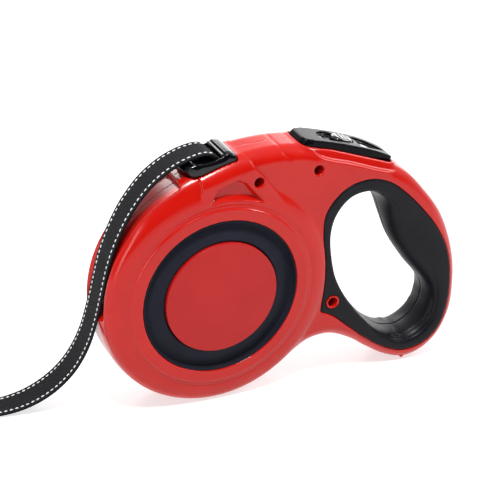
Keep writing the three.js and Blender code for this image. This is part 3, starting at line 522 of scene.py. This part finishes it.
def surface(f, lo, hi, h, steps=3):
    """Quads on f = 0 between two corners, by dual cells, with the points then moved onto the surface."""
    lo, hi = np.asarray(lo, float), np.asarray(hi, float)
    n = np.ceil((hi - lo) / h).astype(int) + 1
    X = (lo[0] + h * np.arange(n[0]))[:, None, None]
    Y = (lo[1] + h * np.arange(n[1]))[None, :, None]
    Z = (lo[2] + h * np.arange(n[2]))[None, None, :]
    F = np.asarray(np.broadcast_to(f(X, Y, Z), tuple(n)), np.float32)
    S = F < 0
    c = S[:-1, :-1, :-1].astype(np.uint8)
    c = c.copy()
    for a in (0, 1):
        for b in (0, 1):
            for e in (0, 1):
                if a or b or e:
                    c += S[a:n[0] - 1 + a, b:n[1] - 1 + b, e:n[2] - 1 + e]
    mixed = (c > 0) & (c < 8)
    cells = np.argwhere(mixed)
    index = np.full(mixed.shape, -1, np.int32)
    index[mixed] = np.arange(len(cells), dtype=np.int32)
    acc, cnt = np.zeros((len(cells), 3)), np.zeros(len(cells))
    corners = [np.array((a, b, e)) for a in (0, 1) for b in (0, 1) for e in (0, 1)]
    for p in corners:
        for k in range(3):
            if p[k]:
                continue
            q = p.copy()
            q[k] = 1
            fa = F[tuple((cells + p).T)]
            fb = F[tuple((cells + q).T)]
            hit = (fa < 0) != (fb < 0)
            tt = np.where(hit, fa / np.where(hit, fa - fb, 1), 0)
            acc += np.where(hit[:, None], p + (q - p) * tt[:, None], 0)
            cnt += hit
    V = (cells + acc / np.maximum(cnt, 1)[:, None]) * h + lo
    quads = []
    for k in range(3):
        sl0, sl1 = [slice(None)] * 3, [slice(None)] * 3
        sl0[k], sl1[k] = slice(0, -1), slice(1, None)
        cross = S[tuple(sl0)] != S[tuple(sl1)]
        E = np.argwhere(cross)
        u, v = (k + 1) % 3, (k + 2) % 3
        ok = (E[:, u] > 0) & (E[:, v] > 0) & (E[:, u] < n[u] - 1) & (E[:, v] < n[v] - 1)
        E = E[ok]
        low = S[tuple(E.T)]
        cs = []
        for du, dv in ((-1, -1), (0, -1), (0, 0), (-1, 0)):
            q = E.copy()
            q[:, u] += du
            q[:, v] += dv
            cs.append(index[tuple(q.T)])
        Qd = np.stack(cs, 1)
        Qd[~low] = Qd[~low][:, ::-1]
        quads.append(Qd)
    Q = np.concatenate(quads)

    def g(P):
        return f(P[:, 0], P[:, 1], P[:, 2])

    e = 0.02
    for _ in range(steps):
        d = g(V)
        G = np.stack([g(V + e * ax) - g(V - e * ax) for ax in np.eye(3)], 1) / (2 * e)
        G2 = np.maximum((G ** 2).sum(1), 0.2)
        step = np.clip(-d / G2, -0.4 * h, 0.4 * h)
        V = V + G * step[:, None]
    return V, Q


def turned(name, prof, sign, mat, body, n=192, at=(0, 0)):
    """A lathe about the reel axis from (radius, height) pairs; sign -1 is the left side. A first or last point on the axis is closed."""
    prof = np.asarray(prof, float)
    ang = np.linspace(0, 2 * math.pi, n, endpoint=False)
    V, F = [], []
    idx = []
    k = 0
    for r, y in prof:
        if r < 1e-6:
            V.append([[0, sign * y, 0]])
            idx.append(np.full(n, k))
            k += 1
        else:
            V.append(np.stack([r * np.cos(ang), np.full(n, sign * y), r * np.sin(ang)], 1))
            idx.append(k + np.arange(n))
            k += n
    tri, quad = [], []
    for a, b in zip(idx[:-1], idx[1:]):
        a2, b2 = np.roll(a, -1), np.roll(b, -1)
        if a[0] == a[1]:
            tri.append(np.stack([a, b, b2], 1))
        elif b[0] == b[1]:
            tri.append(np.stack([a, b, a2], 1))
        else:
            quad.append(np.stack([a, b, b2, a2], 1))
    F = [np.concatenate(q) for q in (quad, tri) if q]
    if sign > 0:
        F = [f[:, ::-1] for f in F]
    return make(name, case_to_world(np.concatenate(V) + np.array([at[0], 0, at[1]])), F, mat, body, sharp=50)


def bevelled(prof, r=0.3, k=4):
    """Rounds each corner of an open profile."""
    P = [np.asarray(p, float) for p in prof]
    out = [P[0]]
    for a, b, c in zip(P[:-2], P[1:-1], P[2:]):
        u, v = a - b, c - b
        lu, lv = np.linalg.norm(u), np.linalg.norm(v)
        q = min(r, lu * 0.45, lv * 0.45)
        p0, p1 = b + u / lu * q, b + v / lv * q
        for t in np.linspace(0, 1, k + 1):
            out.append((1 - t) ** 2 * p0 + 2 * t * (1 - t) * b + t * t * p1)
    out.append(P[-1])
    return out


# ---------------------------------------------------------------------------------------------------------------------
# outlines of the case, in its own drawing frame
# ---------------------------------------------------------------------------------------------------------------------
OUTLINE = [[0, -55.8], [-19.1, -52.4], [-35.9, -42.7], [-48.3, -27.9], [-55.0, -9.7], [-55.7, 4.0], [-55.0, 14.0],
           [-51.7, 24.6], [-45.6, 35.4], [-37.7, 44.9], [-27.5, 52.6], [-15.8, 58.3], [-8, 60.9], [1, 63.5], [10, 65.4], [20.8, 66.3],
           [34.8, 65.9], [45.4, 64.0], [54, 60.9], [64, 57.2], [78, 51.5], [89, 46.4], [98.6, 39.6], [108.2, 28.6], [118.4, 13.3], [125.2, -7],
           [126.9, -23.2], [125.2, -40.3], [118.6, -53.0], [109.8, -59.6], [100, -61.5], [90.2, -58.2], [79, -50.6], [70.3, -43.9],
           [58.3, -38.2], [47.5, -38.6], [39.3, -43.0], [30.5, -48.2], [16, -53.45]]
OPEN_FACE = [[67.4, 35.2], [59.6, 27.4], [56.7, 17.7], [57.6, 3.2], [60.2, -7.8], [65.7, -19.6], [74.9, -33.2], [84.5, -43.9],
             [96, -51.4], [107, -50.6], [116, -42.5], [118.8, -26.5], [116, -8], [109, 8], [98.5, 22.4], [87.5, 32.6], [78.5, 36.6]]
OPEN_SEAM = [[68.0, 33.6], [61.0, 26.6], [58.3, 17.5], [59.2, 3.4], [61.7, -7.1], [67.0, -18.3], [76.0, -31.4], [86.0, -42.0],
             [97, -47.6], [106.0, -44.6], [112.2, -37.6], [113.0, -27.0], [101.6, -9.8], [93.4, 4], [89.0, 16.2], [84.8, 28.0], [77.5, 33.8]]
GRIP_LINE = [[77.8, 41.9], [66.5, 40.6], [58.9, 35.2], [54.3, 28.2], [53.3, 18.7], [54.4, 5.2], [54.3, -7.0], [52.4, -22.4],
             [59.0, -26.2], [66.9, -33.7], [76.9, -42.8], [88.0, -51.0], [98.4, -55.0], [109.4, -53.2], [117.4, -46.2], [121.4, -34.8], [122.4, -20.5],
             [120.6, -6.4], [113.8, 8.9], [103.8, 22.6], [95.6, 31.6], [87.6, 38.3]]
GRIP_CORNER = 7
GRIP_CORE = [[77.8, 41.7], [66.0, 40.0], [58.6, 34.4], [54.2, 27.4], [53.3, 18.7], [54.5, 4.0], [57.2, -8.4], [63.0, -21.0],
             [71.8, -34.6], [80.4, -44.6], [89.0, -51.0], [98.4, -54.8], [109.4, -53.0], [117.2, -46.0], [121.2, -34.8], [122.2, -20.5],
             [120.4, -6.4], [113.6, 8.8], [103.6, 22.4], [95.4, 31.4], [87.4, 38.1]]
HOUSING = [[-11.5, 43.5], [-7.6, 55.0], [-9.4, 68], [1, 71], [8, 72], [12.6, 70], [17.4, 61.2], [23.4, 54.2], [28.4, 47.0],
           [33.2, 39.0], [36.8, 30.5], [30, 26], [0, 36]]
POCKET = [[-4.2, 47.4], [-0.7, 53.6], [9.4, 56.9], [13.7, 54.4], [22.3, 43.2], [18, 44.6], [12, 46.4], [4, 47.7]]
NOZZLE = [[-14.6, 62.9], [-13.4, 60.3], [-9.4, 58.3], [-4, 57.0], [6, 57.6], [10.9, 60.2], [11.1, 65.6], [10.5, 67.0], [8.4, 68.1],
          [6.0, 68.3], [3.6, 67.1], [-4, 66.0], [-9.6, 65.9], [-13.2, 64.9]]
MECH = [[29.5, 55.5], [30.5, 61.4], [37, 61.7], [50.5, 59.2], [50.5, 53.0], [43.6, 52.2], [45.0, 40], [45.4, 30], [40, 28], [33, 38], [33.6, 50]]
WELLS = {"front": (19.7, 53.1), "root": (50.4, 52.2), "loop": (58.6, -18.5)}
RIM_R, RING_R, CAP_R, CAVITY_R = 44.0, 38.2, 27.4, 51.2
BUTTON_C, BUTTON_L, BUTTON_W, BUTTON_H, BUTTON_SKIRT, PRESS = (67.2, 55.5), 51.0, 16.6, 4.0, 3.0, 2.4
UB = (math.cos(math.radians(-22.6)), math.sin(math.radians(-22.6)))
NB = (-UB[1], UB[0])


def button_axes(x, z):
    dx, dz = x - BUTTON_C[0], z - BUTTON_C[1]
    return dx * UB[0] + dz * UB[1], dx * NB[0] + dz * NB[1]


def rrect(x, y, hx, hy, r):
    qx, qy = np.abs(x) - hx + r, np.abs(y) - hy + r
    return np.minimum(np.maximum(qx, qy), 0) + np.sqrt(np.maximum(qx, 0) ** 2 + np.maximum(qy, 0) ** 2) - r


CASE_OUT = catmull(OUTLINE, 620, True)
f_out = Field(CASE_OUT, 0.7, 5)
f_open_face = Field(catmull(OPEN_FACE, 260, True), 0.6, 14).soften(3)
f_open_seam = Field(catmull(OPEN_SEAM, 260, True), 0.6, 14).soften(14)
corner = GRIP_LINE[GRIP_CORNER:] + GRIP_LINE[:GRIP_CORNER] + [GRIP_LINE[GRIP_CORNER]]
f_grip = Field(catmull(corner, 300), 0.5, 5)
f_core = Field(catmull(GRIP_CORE, 260, True), 0.6, 5)
f_house = Field(HOUSING, 0.5, 5)
f_pocket = Field(POCKET, 0.35, 5)
f_mech = Field(MECH, 0.6, 4)
nz = NOZZLE
f_noz = Field(catmull(nz[:9], 120).tolist() + catmull(nz[8:], 60).tolist()[1:], 0.3, 4)

dome = catmull([[55.8, -6], [55.8, 2], [55.8, 8.2], [55.3, 11.1], [53.4, 13.2], [49.9, 14.35], [46.8, 14.7], [44.6, 14.85]], 90)
f_round = Field(np.concatenate([dome, [[44.3, 14.9], [44.15, 15.05], [44.0, 15.4], [43.8, 15.55], [43.5, 15.6], [0, 15.6], [0, -6]]]), 0.2, 3)

ang = np.degrees(np.arctan2(CASE_OUT[:, 1], CASE_OUT[:, 0])) % 360
sel = (ang > 106) & (ang < 183.5)
cp = CASE_OUT[sel][np.argsort(ang[sel])]
cr = np.hypot(cp[:, 0], cp[:, 1])[:, None]
f_chan = Field(np.concatenate([cp * (cr + 7) / cr, (cp * (cr - 3.6) / cr)[::-1]]), 0.5, 4)


def nozzle_shape(x, a, z, grow=0.0):
    """The outlet block, narrowing towards its side faces and most at its front lip."""
    ax = np.interp(a, [3, 6.6, 8.9 + grow, 9.8 + grow], [0, 0.03, 0.09, 0.17])
    az = np.interp(a, [3, 6.6, 8.9 + grow, 9.8 + grow], [0, 0.01, 0.06, 0.16])
    xs = 11 + grow - (11 + grow - x) / (1 - ax)
    zs = np.where(z > 60, 60 + (z - 60) / (1 - az), z)
    return ext(f_noz(xs, zs) * 0.93 - grow, a, 9.8 + grow, 1.6)


def dist_line(x, z, P):
    best = 1e9
    for (x0, z0), (x1, z1) in zip(P[:-1], P[1:]):
        dx, dz = x1 - x0, z1 - z0
        t = np.clip(((x - x0) * dx + (z - z0) * dz) / (dx * dx + dz * dz), 0, 1)
        best = np.minimum(best, (x - x0 - t * dx) ** 2 + (z - z0 - t * dz) ** 2)
    return np.sqrt(best)


BEAD = catmull([[47.6, 62.2], [51.2, 58.4], [56.4, 55.7], [66.7, 51.9], [82.4, 45.2], [90.4, 42.4]], 26)
TOPLINE = catmull([[32.2, 66.5], [33.4, 63.4], [36.4, 60.8]], 8)


def case_half(x, a, z, left):
    r = np.sqrt(x * x + z * z)
    d = f_out(x, z)
    # rail round the outside, and the flat web inside it
    over = (z - np.interp(x, BEAD[:, 0], BEAD[:, 1])) * 0.92
    along = np.clip((x - 47.0) / 4, 0, 1) * np.clip((91 - x) / 5, 0, 1)
    web = 12.5 + along * (0.30 * np.exp(-((over + 0.4) / 0.8) ** 2) - 1.0 * np.clip(over / 0.9, 0, 1) * np.exp(-np.maximum(over, 0) / 7))
    f = ext(d, a, web, 7.0)
    f = smin(f, f_round(r, a), 1.3)
    f = f + 0.30 * np.exp(-((r - 46.3) / 0.45) ** 2) * np.clip((a - 13) / 1, 0, 1)
    house = ext(f_house(x, z), a + 0.06 * np.maximum(f_house(x, z) + 7, 0), 14.5, 0.5)
    f = smin(f, smax(house, ext(d, a, 14.2, 8.0), 0.4), 0.35)
    f = f + 0.20 * np.exp(-(dist_line(x, z, TOPLINE) / 0.6) ** 2)
    # side plate recess, tape channel, outlet seat
    f = smax(f, -np.maximum(r - RING_R - 0.12, 11.8 - a), 0.35)
    chan = ext(f_chan(x, z), a, 10.1, 3.4)
    f = smax(f, -chan, 0.9)
    seat = nozzle_shape(x, a, z, 0.28)
    way = np.maximum(np.maximum(np.abs(x - 5.0) - 8.5, np.maximum(46 - z, z - 61)), a - 8.6)
    f = smax(f, -np.minimum(seat, way), 0.35)
    # pocket beside the outlet, sloping in to its floor
    pk = f_pocket(x, z)
    floor = 11.9 + 0.05 * (z - 50)
    f = smax(f, -np.maximum(pk + 0.6 * np.maximum(14.3 - a, 0), floor - a), 0.3)
    # button seat and spring well, in a collar that rises to the button's foot
    s, h = button_axes(x, z)
    f = smin(f, np.maximum(ext(rrect(s - 0.4, a, BUTTON_L / 2 + 1.4, BUTTON_W / 2 + 1.4, 4.5), h + 6, 6.45 - 1.3 * np.clip((-10 - s) / 10, 0, 1), 1.2), -7 - h), 1.8)
    f = smax(f, -np.maximum(rrect(s, a, BUTTON_L / 2 + 0.3, BUTTON_W / 2 + 0.3, 3.4), -BUTTON_SKIRT - PRESS - 0.4 - h), 0.35)
    f = np.maximum(f, -np.maximum(rrect(s - 9, a, 3.3, 3.3, 3.2), -7.8 - h))
    # grip seat and the screw boss through it
    f = smax(f, -np.minimum(np.maximum(f_core(x, z) - 0.12, a - 11.2), np.maximum(f_grip(x, z) - 0.12, 11.1 - a)), 0.35)
    lx, lz = WELLS["loop"]
    lr = np.sqrt((x - lx) ** 2 + (z - lz) ** 2)
    f = np.maximum(f, -np.maximum(lr - 3.36, 9.5 - a))
    # hollow inside
    f = np.maximum(f, -np.maximum(r - CAVITY_R, a - 10))
    rx, rz = WELLS["root"]
    rr = np.sqrt((x - rx) ** 2 + (z - rz) ** 2)
    f = np.maximum(f, -np.maximum(np.maximum(f_mech(x, z), a - 9.8), 3.3 - rr))
    f = np.maximum(f, -np.maximum(np.sqrt((x - 34.0) ** 2 + (z - 57.5) ** 2) - 1.5, a - 11.3))
    # screw wells in the left half, blind holes in the right
    for wx, wz in WELLS.values():
        q = np.sqrt((x - wx) ** 2 + (z - wz) ** 2)
        if left:
            f = smax(f, -np.maximum(q - 2.5, 5.2 - a), 0.45)
            f = np.maximum(f, -np.maximum(q - 1.35, a - 6))
        else:
            f = np.maximum(f, -np.maximum(q - 1.35, a - 7.5))
    # small moulding nub low on the handle
    if left:
        f = smin(f, np.sqrt((x - 98.7) ** 2 + (z + 60.0) ** 2 + (a - 9.4) ** 2) - 1.0, 0.4)
    if not left:
        f = np.maximum(f, -np.maximum(np.maximum(r - 1.7, 9 - a), a - 14))
    return smax(f, -0.40 - a, 0.05)


def opening(x, a, z):
    u = np.clip((a - 0.15) / 12.45, 0, 1)
    t = 1 - np.sqrt(1 - u ** 2)
    return f_open_seam(x, z) * (1 - t) + f_open_face(x, z) * t


RIBS = ((113.4, -41.3, 0.9), (95.6, -49.0, 2.35))       # cross ribs on the low rear pad: place, and the way outwards


def grip_half(x, a, z):
    f = np.minimum(np.maximum(f_core(x, z) + 0.12, a - 11.25), np.maximum(ext(f_grip(x, z) + 0.12, a, 12.6, 0.55), 11.24 - a))
    o = opening(x, a, z)
    # the pad low at the back stands a little into the opening, with a rib at each end
    pad = np.clip((-30.5 - z) / 3, 0, 1) * np.clip((x - 90) / 4, 0, 1) * np.clip((9.6 - a) / 1.2, 0, 1)
    o = o + 0.55 * pad
    for px, pz, _ in RIBS:
        o = o + 1.0 * np.exp(-(((x - px) ** 2 + (z - pz) ** 2) ** 0.5 / 2.0) ** 4) * np.clip((9.6 - a) / 1.0, 0, 1)
    f = smax(f, -o, 0.9)
    lx, lz = WELLS["loop"]
    f = smax(f, 3.45 - np.sqrt((x - lx) ** 2 + (z - lz) ** 2), 0.3)
    return smax(f, 0.15 - a, 0.3)


def mirrored(fn, sign, *rest):
    return lambda x, y, z: fn(x, sign * y, z, *rest)


H_SHELL = 0.55
for side, sign in (("left", -1), ("right", 1)):
    ylo, yhi = (-16.6, 0.6) if sign < 0 else (-0.6, 16.6)
    V, Q = surface(mirrored(case_half, sign, side == "left"), (-58, ylo, -64), (129.5, yhi, 69.5), H_SHELL, 3)
    o = make("shell_" + side, case_to_world(V), Q, M["red"], "case")
    o.name = "case_shell_" + side
    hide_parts("shell_" + side)
    V, Q = surface(mirrored(grip_half, sign), (50, -13.4 if sign < 0 else -0.6, -58), (125, 0.6 if sign < 0 else 13.4, 45), 0.55, 2)
    o = make("grip_rubber_" + side, case_to_world(V), Q, M["rubber"], "case")
    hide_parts("grip_" + side)
    o = turned("side_plate_" + side, bevelled([[9.5, 11.95], [38.05, 11.95], [38.05, 15.45], [37.6, 15.45], [37.3, 12.3], [35.2, 12.6], [28.6, 14.9], [28.05, 14.9], [27.8, 14.3], [27.6, 12.75], [9.5, 12.75], [9.5, 11.95]], 0.25), sign, M["ring"], "case")
    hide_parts("ring_insert_" + side)
    o = turned("disc_" + side, bevelled([[0, 13.05], [CAP_R, 13.05], [CAP_R, 16.35], [0, 16.5]], 0.45, 6), sign, M["cap"], "case")
    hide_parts("disc_cap_" + side)
    prof = [[2.45, 9.5], [3.3, 9.5], [3.3, 12.85], [2.95, 12.98], [2.45, 12.7], [2.45, 9.5]] if sign < 0 else [[0, 9.5], [3.3, 9.5], [3.3, 12.85], [2.9, 12.98], [1.4, 12.9], [0, 12.6]]
    o = turned("screw_boss_" + side, bevelled(prof, 0.12), sign, M["red"], "case", 64, WELLS["loop"])


# ---------------------------------------------------------------------------------------------------------------------
# outlet block and guide bar
# ---------------------------------------------------------------------------------------------------------------------
def nozzle_f(x, y, z):
    a = np.abs(y)
    f = nozzle_shape(x, a, z)
    slot = rrect(x - 1.5, y, 2.1, 8.2, 0.8)
    f = smax(f, -np.maximum(ext(np.abs(x + 3.2) - 6.2, a, 8.4, 2.5), 65.1 - z), 0.9)
    f = smax(f, -np.maximum(slot, 52 - z), 0.8)
    return smax(f, -np.maximum(np.maximum(np.abs(x - 4.7) - 1.08, a - 8.35), 65.0 - z), 0.15)


V, Q = surface(nozzle_f, (-16, -10.6, 55.5), (12, 10.6, 70), 0.33, 3)
o = make("tape_outlet", case_to_world(V), Q, M["gloss"], "case")
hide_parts("nozzle")
V, Q = surface(lambda x, y, z: smax(rrect(x - 4.7, z - 66.2, 1.0, 1.55, 0.95) + 0 * y, np.abs(y) - 8.2, 0.6), (3, -9, 64.6), (6.4, 9, 69.6), 0.25, 3)
o = make("outlet_guide_bar", case_to_world(V), Q, M["gloss"], "case")
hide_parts("guide_bar")


# ---------------------------------------------------------------------------------------------------------------------
# brake button with its dished top, and the lock slider
# ---------------------------------------------------------------------------------------------------------------------
def button_to_case(P):
    s, y, h = P.T
    return np.stack([BUTTON_C[0] + UB[0] * s + NB[0] * h, y, BUTTON_C[1] + UB[1] * s + NB[1] * h], 1)


def crown(s):
    return 0.1 - 0.0024 * (s - 6) ** 2 - 0.0035 * np.maximum(s - 10, 0) ** 2


def half_width(s):
    return BUTTON_W / 2 - 2.2 * np.clip((s - 10) / 15.5, 0, 1) ** 1.5


def front_dish(s, y):
    return np.maximum(np.sqrt(((s + 6.8) / 7.6) ** 2 + (y / 5.6) ** 2) - 1, 1 - np.sqrt(((s + 3.0) / 7.4) ** 2 + (y / 4.9) ** 2) + 0.10) * 5.0


def rear_dish(s, y):
    w = np.interp(s, [4.0, 4.6, 6.5, 9, 14, 19, 22.5, 24], [-2, 3.0, 5.2, 5.6, 4.6, 2.8, 0.9, -1.0])
    return np.maximum(np.abs(y + 0.4) - w, 1 - np.sqrt(((s + 1.2) / 8.0) ** 2 + (y / 6.5) ** 2))


def button_f(s, y, h):
    k = BUTTON_W / 2 / half_width(s)
    d2 = rrect(s, y * k, BUTTON_L / 2, BUTTON_W / 2, np.where(s < 0, 4.2, 1.4)) / k ** 0.5
    top = h - crown(s)
    f = ext(d2, top, BUTTON_H, 0.8)
    f = smax(f, d2 + 0.0 + np.maximum(top - 2.0, 0) * np.where(s < -20, 0.55, 0.05), 0.4)
    depth = 1.15
    dish = smin(front_dish(s, y), rear_dish(s, y), 0.2)
    f = smax(f, -np.maximum(dish + 0.3 * np.maximum(BUTTON_H - top, 0), BUTTON_H - depth - top - 0.10 * np.minimum(dish, 0) ** 2 * 0.2), 0.25)
    f = smax(f, -np.maximum(rrect(s + 3, y, 8, 4.5, 4.4), 2.4 - h), 0.2)
    f = np.maximum(f, -3.0 - h)
    return np.maximum(f, -np.maximum(rrect(s - 9, y, 3.2, 3.2, 3.0), h - 1.6))


V, Q = surface(button_f, (-26.2, -9, -3.6), (26.2, 9, 6.4), 0.36, 3)
o = make("brake_button_body", case_to_world(button_to_case(V)), Q, M["button"], "brake")
o.data.materials.append(M["inlay"])
mid = V[Q].mean(1)
inside = (np.minimum(front_dish(mid[:, 0], mid[:, 1]), rear_dish(mid[:, 0], mid[:, 1])) < -0.3) & (mid[:, 2] > 2.2)
idx = np.zeros(len(o.data.polygons), np.int32)
idx[:len(inside)] = inside[:len(idx)]
o.data.polygons.foreach_set("material_index", idx)
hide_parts("brake_button")


def slider_f(s, y, h):
    d2 = rrect(s + 1, y, 5.5, 4.1, 4.0)
    f = ext(d2, h, BUTTON_H + 0.95 - 0.012 * (s + 1) ** 2, 1.3)
    for k in (-3.2, -1.0, 1.2):
        f = f + 0.32 * np.exp(-((s - k) / 0.42) ** 2) * np.clip((h - 3.5) / 0.8, 0, 1) * np.clip((3.2 - np.abs(y)) / 0.5, 0, 1)
    return np.maximum(f, 2.7 - h)


V, Q = surface(slider_f, (-7.4, -5, 2.2), (5.4, 5, 6.6), 0.3, 3)
o = make("lock_slider_nub", case_to_world(button_to_case(V)), Q, M["inlay"], "lock")
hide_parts("lock_slider")


# ---------------------------------------------------------------------------------------------------------------------
# tape inside the case
# ---------------------------------------------------------------------------------------------------------------------
LEAD = [[27.5, 0, 35.2], [20.0, 0, 41.0], [12.0, 0, 46.6], [5.4, 0, 53.2], [2.4, 0, 58.6], [1.9, 0, 63.6]]
lead = strip("tape_inner_run", catmull(LEAD, 90), "case", case_to_world)
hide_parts("tape_lead")
roll = [[21.3, 7.5]]
for r in np.arange(21.3, 43.3, 1.1):
    roll += [[r + 0.25, 7.5], [r + 0.5, 7.2], [r + 0.75, 7.5]]
roll = [p for p in roll if p[0] <= 43.4] + [[43.4, 7.5], [43.4, -7.5]]
roll += [[p[0], -p[1]] for p in roll[:-2][::-1]] + [[21.3, 7.5]]
o = turned("tape_wound", roll, 1, M["sleeve"], "reel", 96)
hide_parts("tape_roll")


# ---------------------------------------------------------------------------------------------------------------------
# end of the tape: loop, sleeve and snap hook, drawn along +X on the table
# ---------------------------------------------------------------------------------------------------------------------
HX, HY, HC, HS = -178.765, 20.480, -0.98687, 0.16149
AX = 5.0


def hook_to_world(P):
    P = np.asarray(P, float)
    return np.stack([HX + HC * P[:, 0] - HS * P[:, 1], HY + HS * P[:, 0] + HC * P[:, 1], P[:, 2]], 1) / 1000


def rod(x, y, z, x0, x1, r, y0=0.0, e=0.3):
    return ext(np.sqrt((y - y0) ** 2 + (z - AX) ** 2) - r, np.abs(x - (x0 + x1) / 2), (x1 - x0) / 2, e)


def sleeve_f(x, y, z):
    f = ext(rrect(x - 12.4, y, 10, 9.2, 3), np.abs(z - 2.82), 2.78, 1.3)
    for k in (8.6, 12.4, 16.2):
        f = f + 0.35 * np.exp(-((x - k) / 0.7) ** 2) * np.clip((z - 4.2) / 0.8, 0, 1) * np.clip((7 - np.abs(y)) / 1, 0, 1)
    f = smax(f, -np.maximum(np.maximum(np.abs(x - 2) - 4, np.abs(y) - 7.8), z - 1.4), 0.2)
    return smax(f, -np.maximum(np.maximum(np.abs(x - 24) - 6.5, np.abs(y) - 7.8), np.maximum(0.3 - z, z - 4.7)), 0.3)


def eye_f(x, y, z):
    ring = np.sqrt(rrect(x - 38.4, y, 7.2, 10.6, 4.2) ** 2 + (z - AX) ** 2) - 1.6
    f = smin(ring, rod(x, y, z, 45.2, 52.0, 2.2), 0.9)
    return smin(f, rod(x, y, z, 51.7, 53.4, 3.2, 0, 0.4), 0.3)


HOOK = catmull([[56.5, -1.6], [60.5, -4.6], [66, -8.2], [72.5, -9.6], [79, -9.6], [85.79, -6.79], [88.6, 0], [85.79, 6.79], [79.4, 9.5],
                [76.0, 8.9], [73.2, 8.2]], 64)


def hook_f(x, y, z):
    tube = np.sqrt(dist_line(x, y, HOOK) ** 2 + (z - AX) ** 2) - 2.4
    barrel = smin(rod(x, y, z, 48.4, 57.4, 4.9, 0, 0.7), rod(x, y, z, 56.6, 59.4, 4.2, 0, 1.0), 0.6)
    for k in (50.2, 55.8):
        barrel = barrel + 0.22 * np.exp(-((x - k) / 0.35) ** 2)
    guide = rod(x, y, z, 49.5, 60.0, 3.6, 8.2, 0.6)
    web = ext(rrect(x - 54.4, y - 4.75, 5.0, 2.9, 0.5), np.abs(z - AX), 2.6, 0.6)
    f = smin(smin(smin(barrel, guide, 0.7), web, 0.8), tube, 1.4)
    f = np.maximum(f, -rod(x, y, z, 50.2, 54.6, 3.6))
    f = np.maximum(f, -rod(x, y, z, 47, 51, 2.5))
    return np.maximum(f, -rod(x, y, z, 50.4, 62, 2.15, 8.2))


def bolt_f(x, y, z):
    q = np.sqrt((x - 69.4) ** 2 + (y - 8.2) ** 2)
    knob = ext(q - (1.9 + 0.05 * (z - AX)), np.abs(z - AX - 3.3), 3.1, 0.5)
    knob = knob + 0.16 * np.exp(-((z - AX - 4.2) / 0.3) ** 2) + 0.16 * np.exp(-((z - AX - 5.2) / 0.3) ** 2)
    return smin(rod(x, y, z, 57.4, 72.8, 1.8, 8.2, 0.4), knob, 0.5)


HH = 0.36
for name, fn, lo, hi, mat, body, node, sl in (
        ("tape_stop_sleeve", sleeve_f, (1.6, -10, -0.6), (23.2, 10, 6.4), M["sleeve"], "case", "stop_sleeve", "sleeve_black"),
        ("hook_swivel_eye", eye_f, (28.8, -13, 1), (54.2, 13, 9.2), M["chrome"], "case", "hook_eye", "chrome"),
        ("snap_hook_body", hook_f, (47.6, -13, -0.6), (92, 13, 10.8), M["chrome"], "hook", "hook_body", "chrome"),
        ("snap_hook_bolt", bolt_f, (56.6, 5, 2.4), (73.6, 11.4, 12.4), M["chrome"], "bolt", "hook_bolt", "chrome")):
    V, Q = surface(fn, lo, hi, HH, 3)
    o = make(name, hook_to_world(V), Q, mat, body)
    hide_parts(node)
def coil(length, radius, wire, turns, k=12, per=36):
    """A round-wire compression spring along the first axis, with its end turns closed up."""
    t = np.linspace(0, 1, turns * per + 1)
    a = 2 * math.pi * turns * t
    lift = length * (t + 0.35 * (np.sin(2 * math.pi * t) / (2 * math.pi)) * -1)
    C = np.stack([lift, radius * np.cos(a), radius * np.sin(a)], 1)
    T = np.gradient(C, axis=0)
    T /= np.linalg.norm(T, axis=1)[:, None]
    N = np.stack([0 * a, np.cos(a), np.sin(a)], 1)
    B = np.cross(T, N)
    B /= np.linalg.norm(B, axis=1)[:, None]
    g = np.arange(k) * 2 * math.pi / k
    V = (C[:, None] + wire * (N[:, None] * np.cos(g)[None, :, None] + B[:, None] * np.sin(g)[None, :, None])).reshape(-1, 3)
    i = np.arange(len(t) - 1)[:, None] * k
    p, q = np.arange(k)[None], (np.arange(k)[None] + 1) % k
    Q = np.stack([i + p, i + q, i + q + k, i + p + k], -1).reshape(-1, 4)
    V = np.concatenate([V, C[:1], C[-1:]])
    m, e, last = np.arange(k), len(V) - 2, (len(t) - 1) * k
    caps = np.concatenate([np.stack([np.full(k, e), (m + 1) % k, m], 1), np.stack([np.full(k, e + 1), last + m, last + (m + 1) % k], 1)])
    return V, [Q, caps]


V, F = coil(8.6, 2.2, 0.35, 5)
o = make("button_return_spring", case_to_world(button_to_case(np.stack([9 + V[:, 1], V[:, 2], -7.4 + V[:, 0]], 1))), F, M["spring"], "case")
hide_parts("button_spring")
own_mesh(o)
V, F = coil(6.0, 1.5, 0.25, 4)
bolt_spring = make("bolt_return_spring", hook_to_world(np.stack([50.9 + V[:, 0], 8.2 + V[:, 1], AX + V[:, 2]], 1)), F, M["spring"], "hook")
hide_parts("hook_spring")
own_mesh(bolt_spring)  # its solid height: 4 turns of 0.5 mm wire

LOOP = [[17.9, 0, 1.15], [22, 0, 1.1], [26, 0, 1.2], [29.2, 0, 1.6], [32.2, 0, 1.95], [34.4, 0, 3.1], [35.2, 0, 5.0], [34.3, 0, 7.0], [32.2, 0, 8.0],
        [29.6, 0, 7.3], [27.2, 0, 4.9], [25.2, 0, 3.0], [22.4, 0, 2.3], [17.9, 0, 2.25]]
loop_path = catmull(LOOP, 120)
loop = strip("tape_end_loop_web", loop_path, "case", hook_to_world)
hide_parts("tape_end_loop")
sew2 = stitches("tape_end_loop_stitching", loop_path, "case", hook_to_world, (-5.35, 5.35), z_sides=(-1,), start=1.0, end=6.0)

# ---------------------------------------------------------------------------------------------------------------------
# the CAD pieces that are shown as they are
# ---------------------------------------------------------------------------------------------------------------------
for n, m in {"brake_pawl": "acetal", "pawl_pin": "steel", "reel": "acetal", "reel_cover": "acetal", "power_spring": "spring",
             "axle": "steel", "axle_screw": "steel", "screw_front": "steel", "screw_root": "steel", "screw_loop": "steel"}.items():
    paint(NODES[n], M[m])
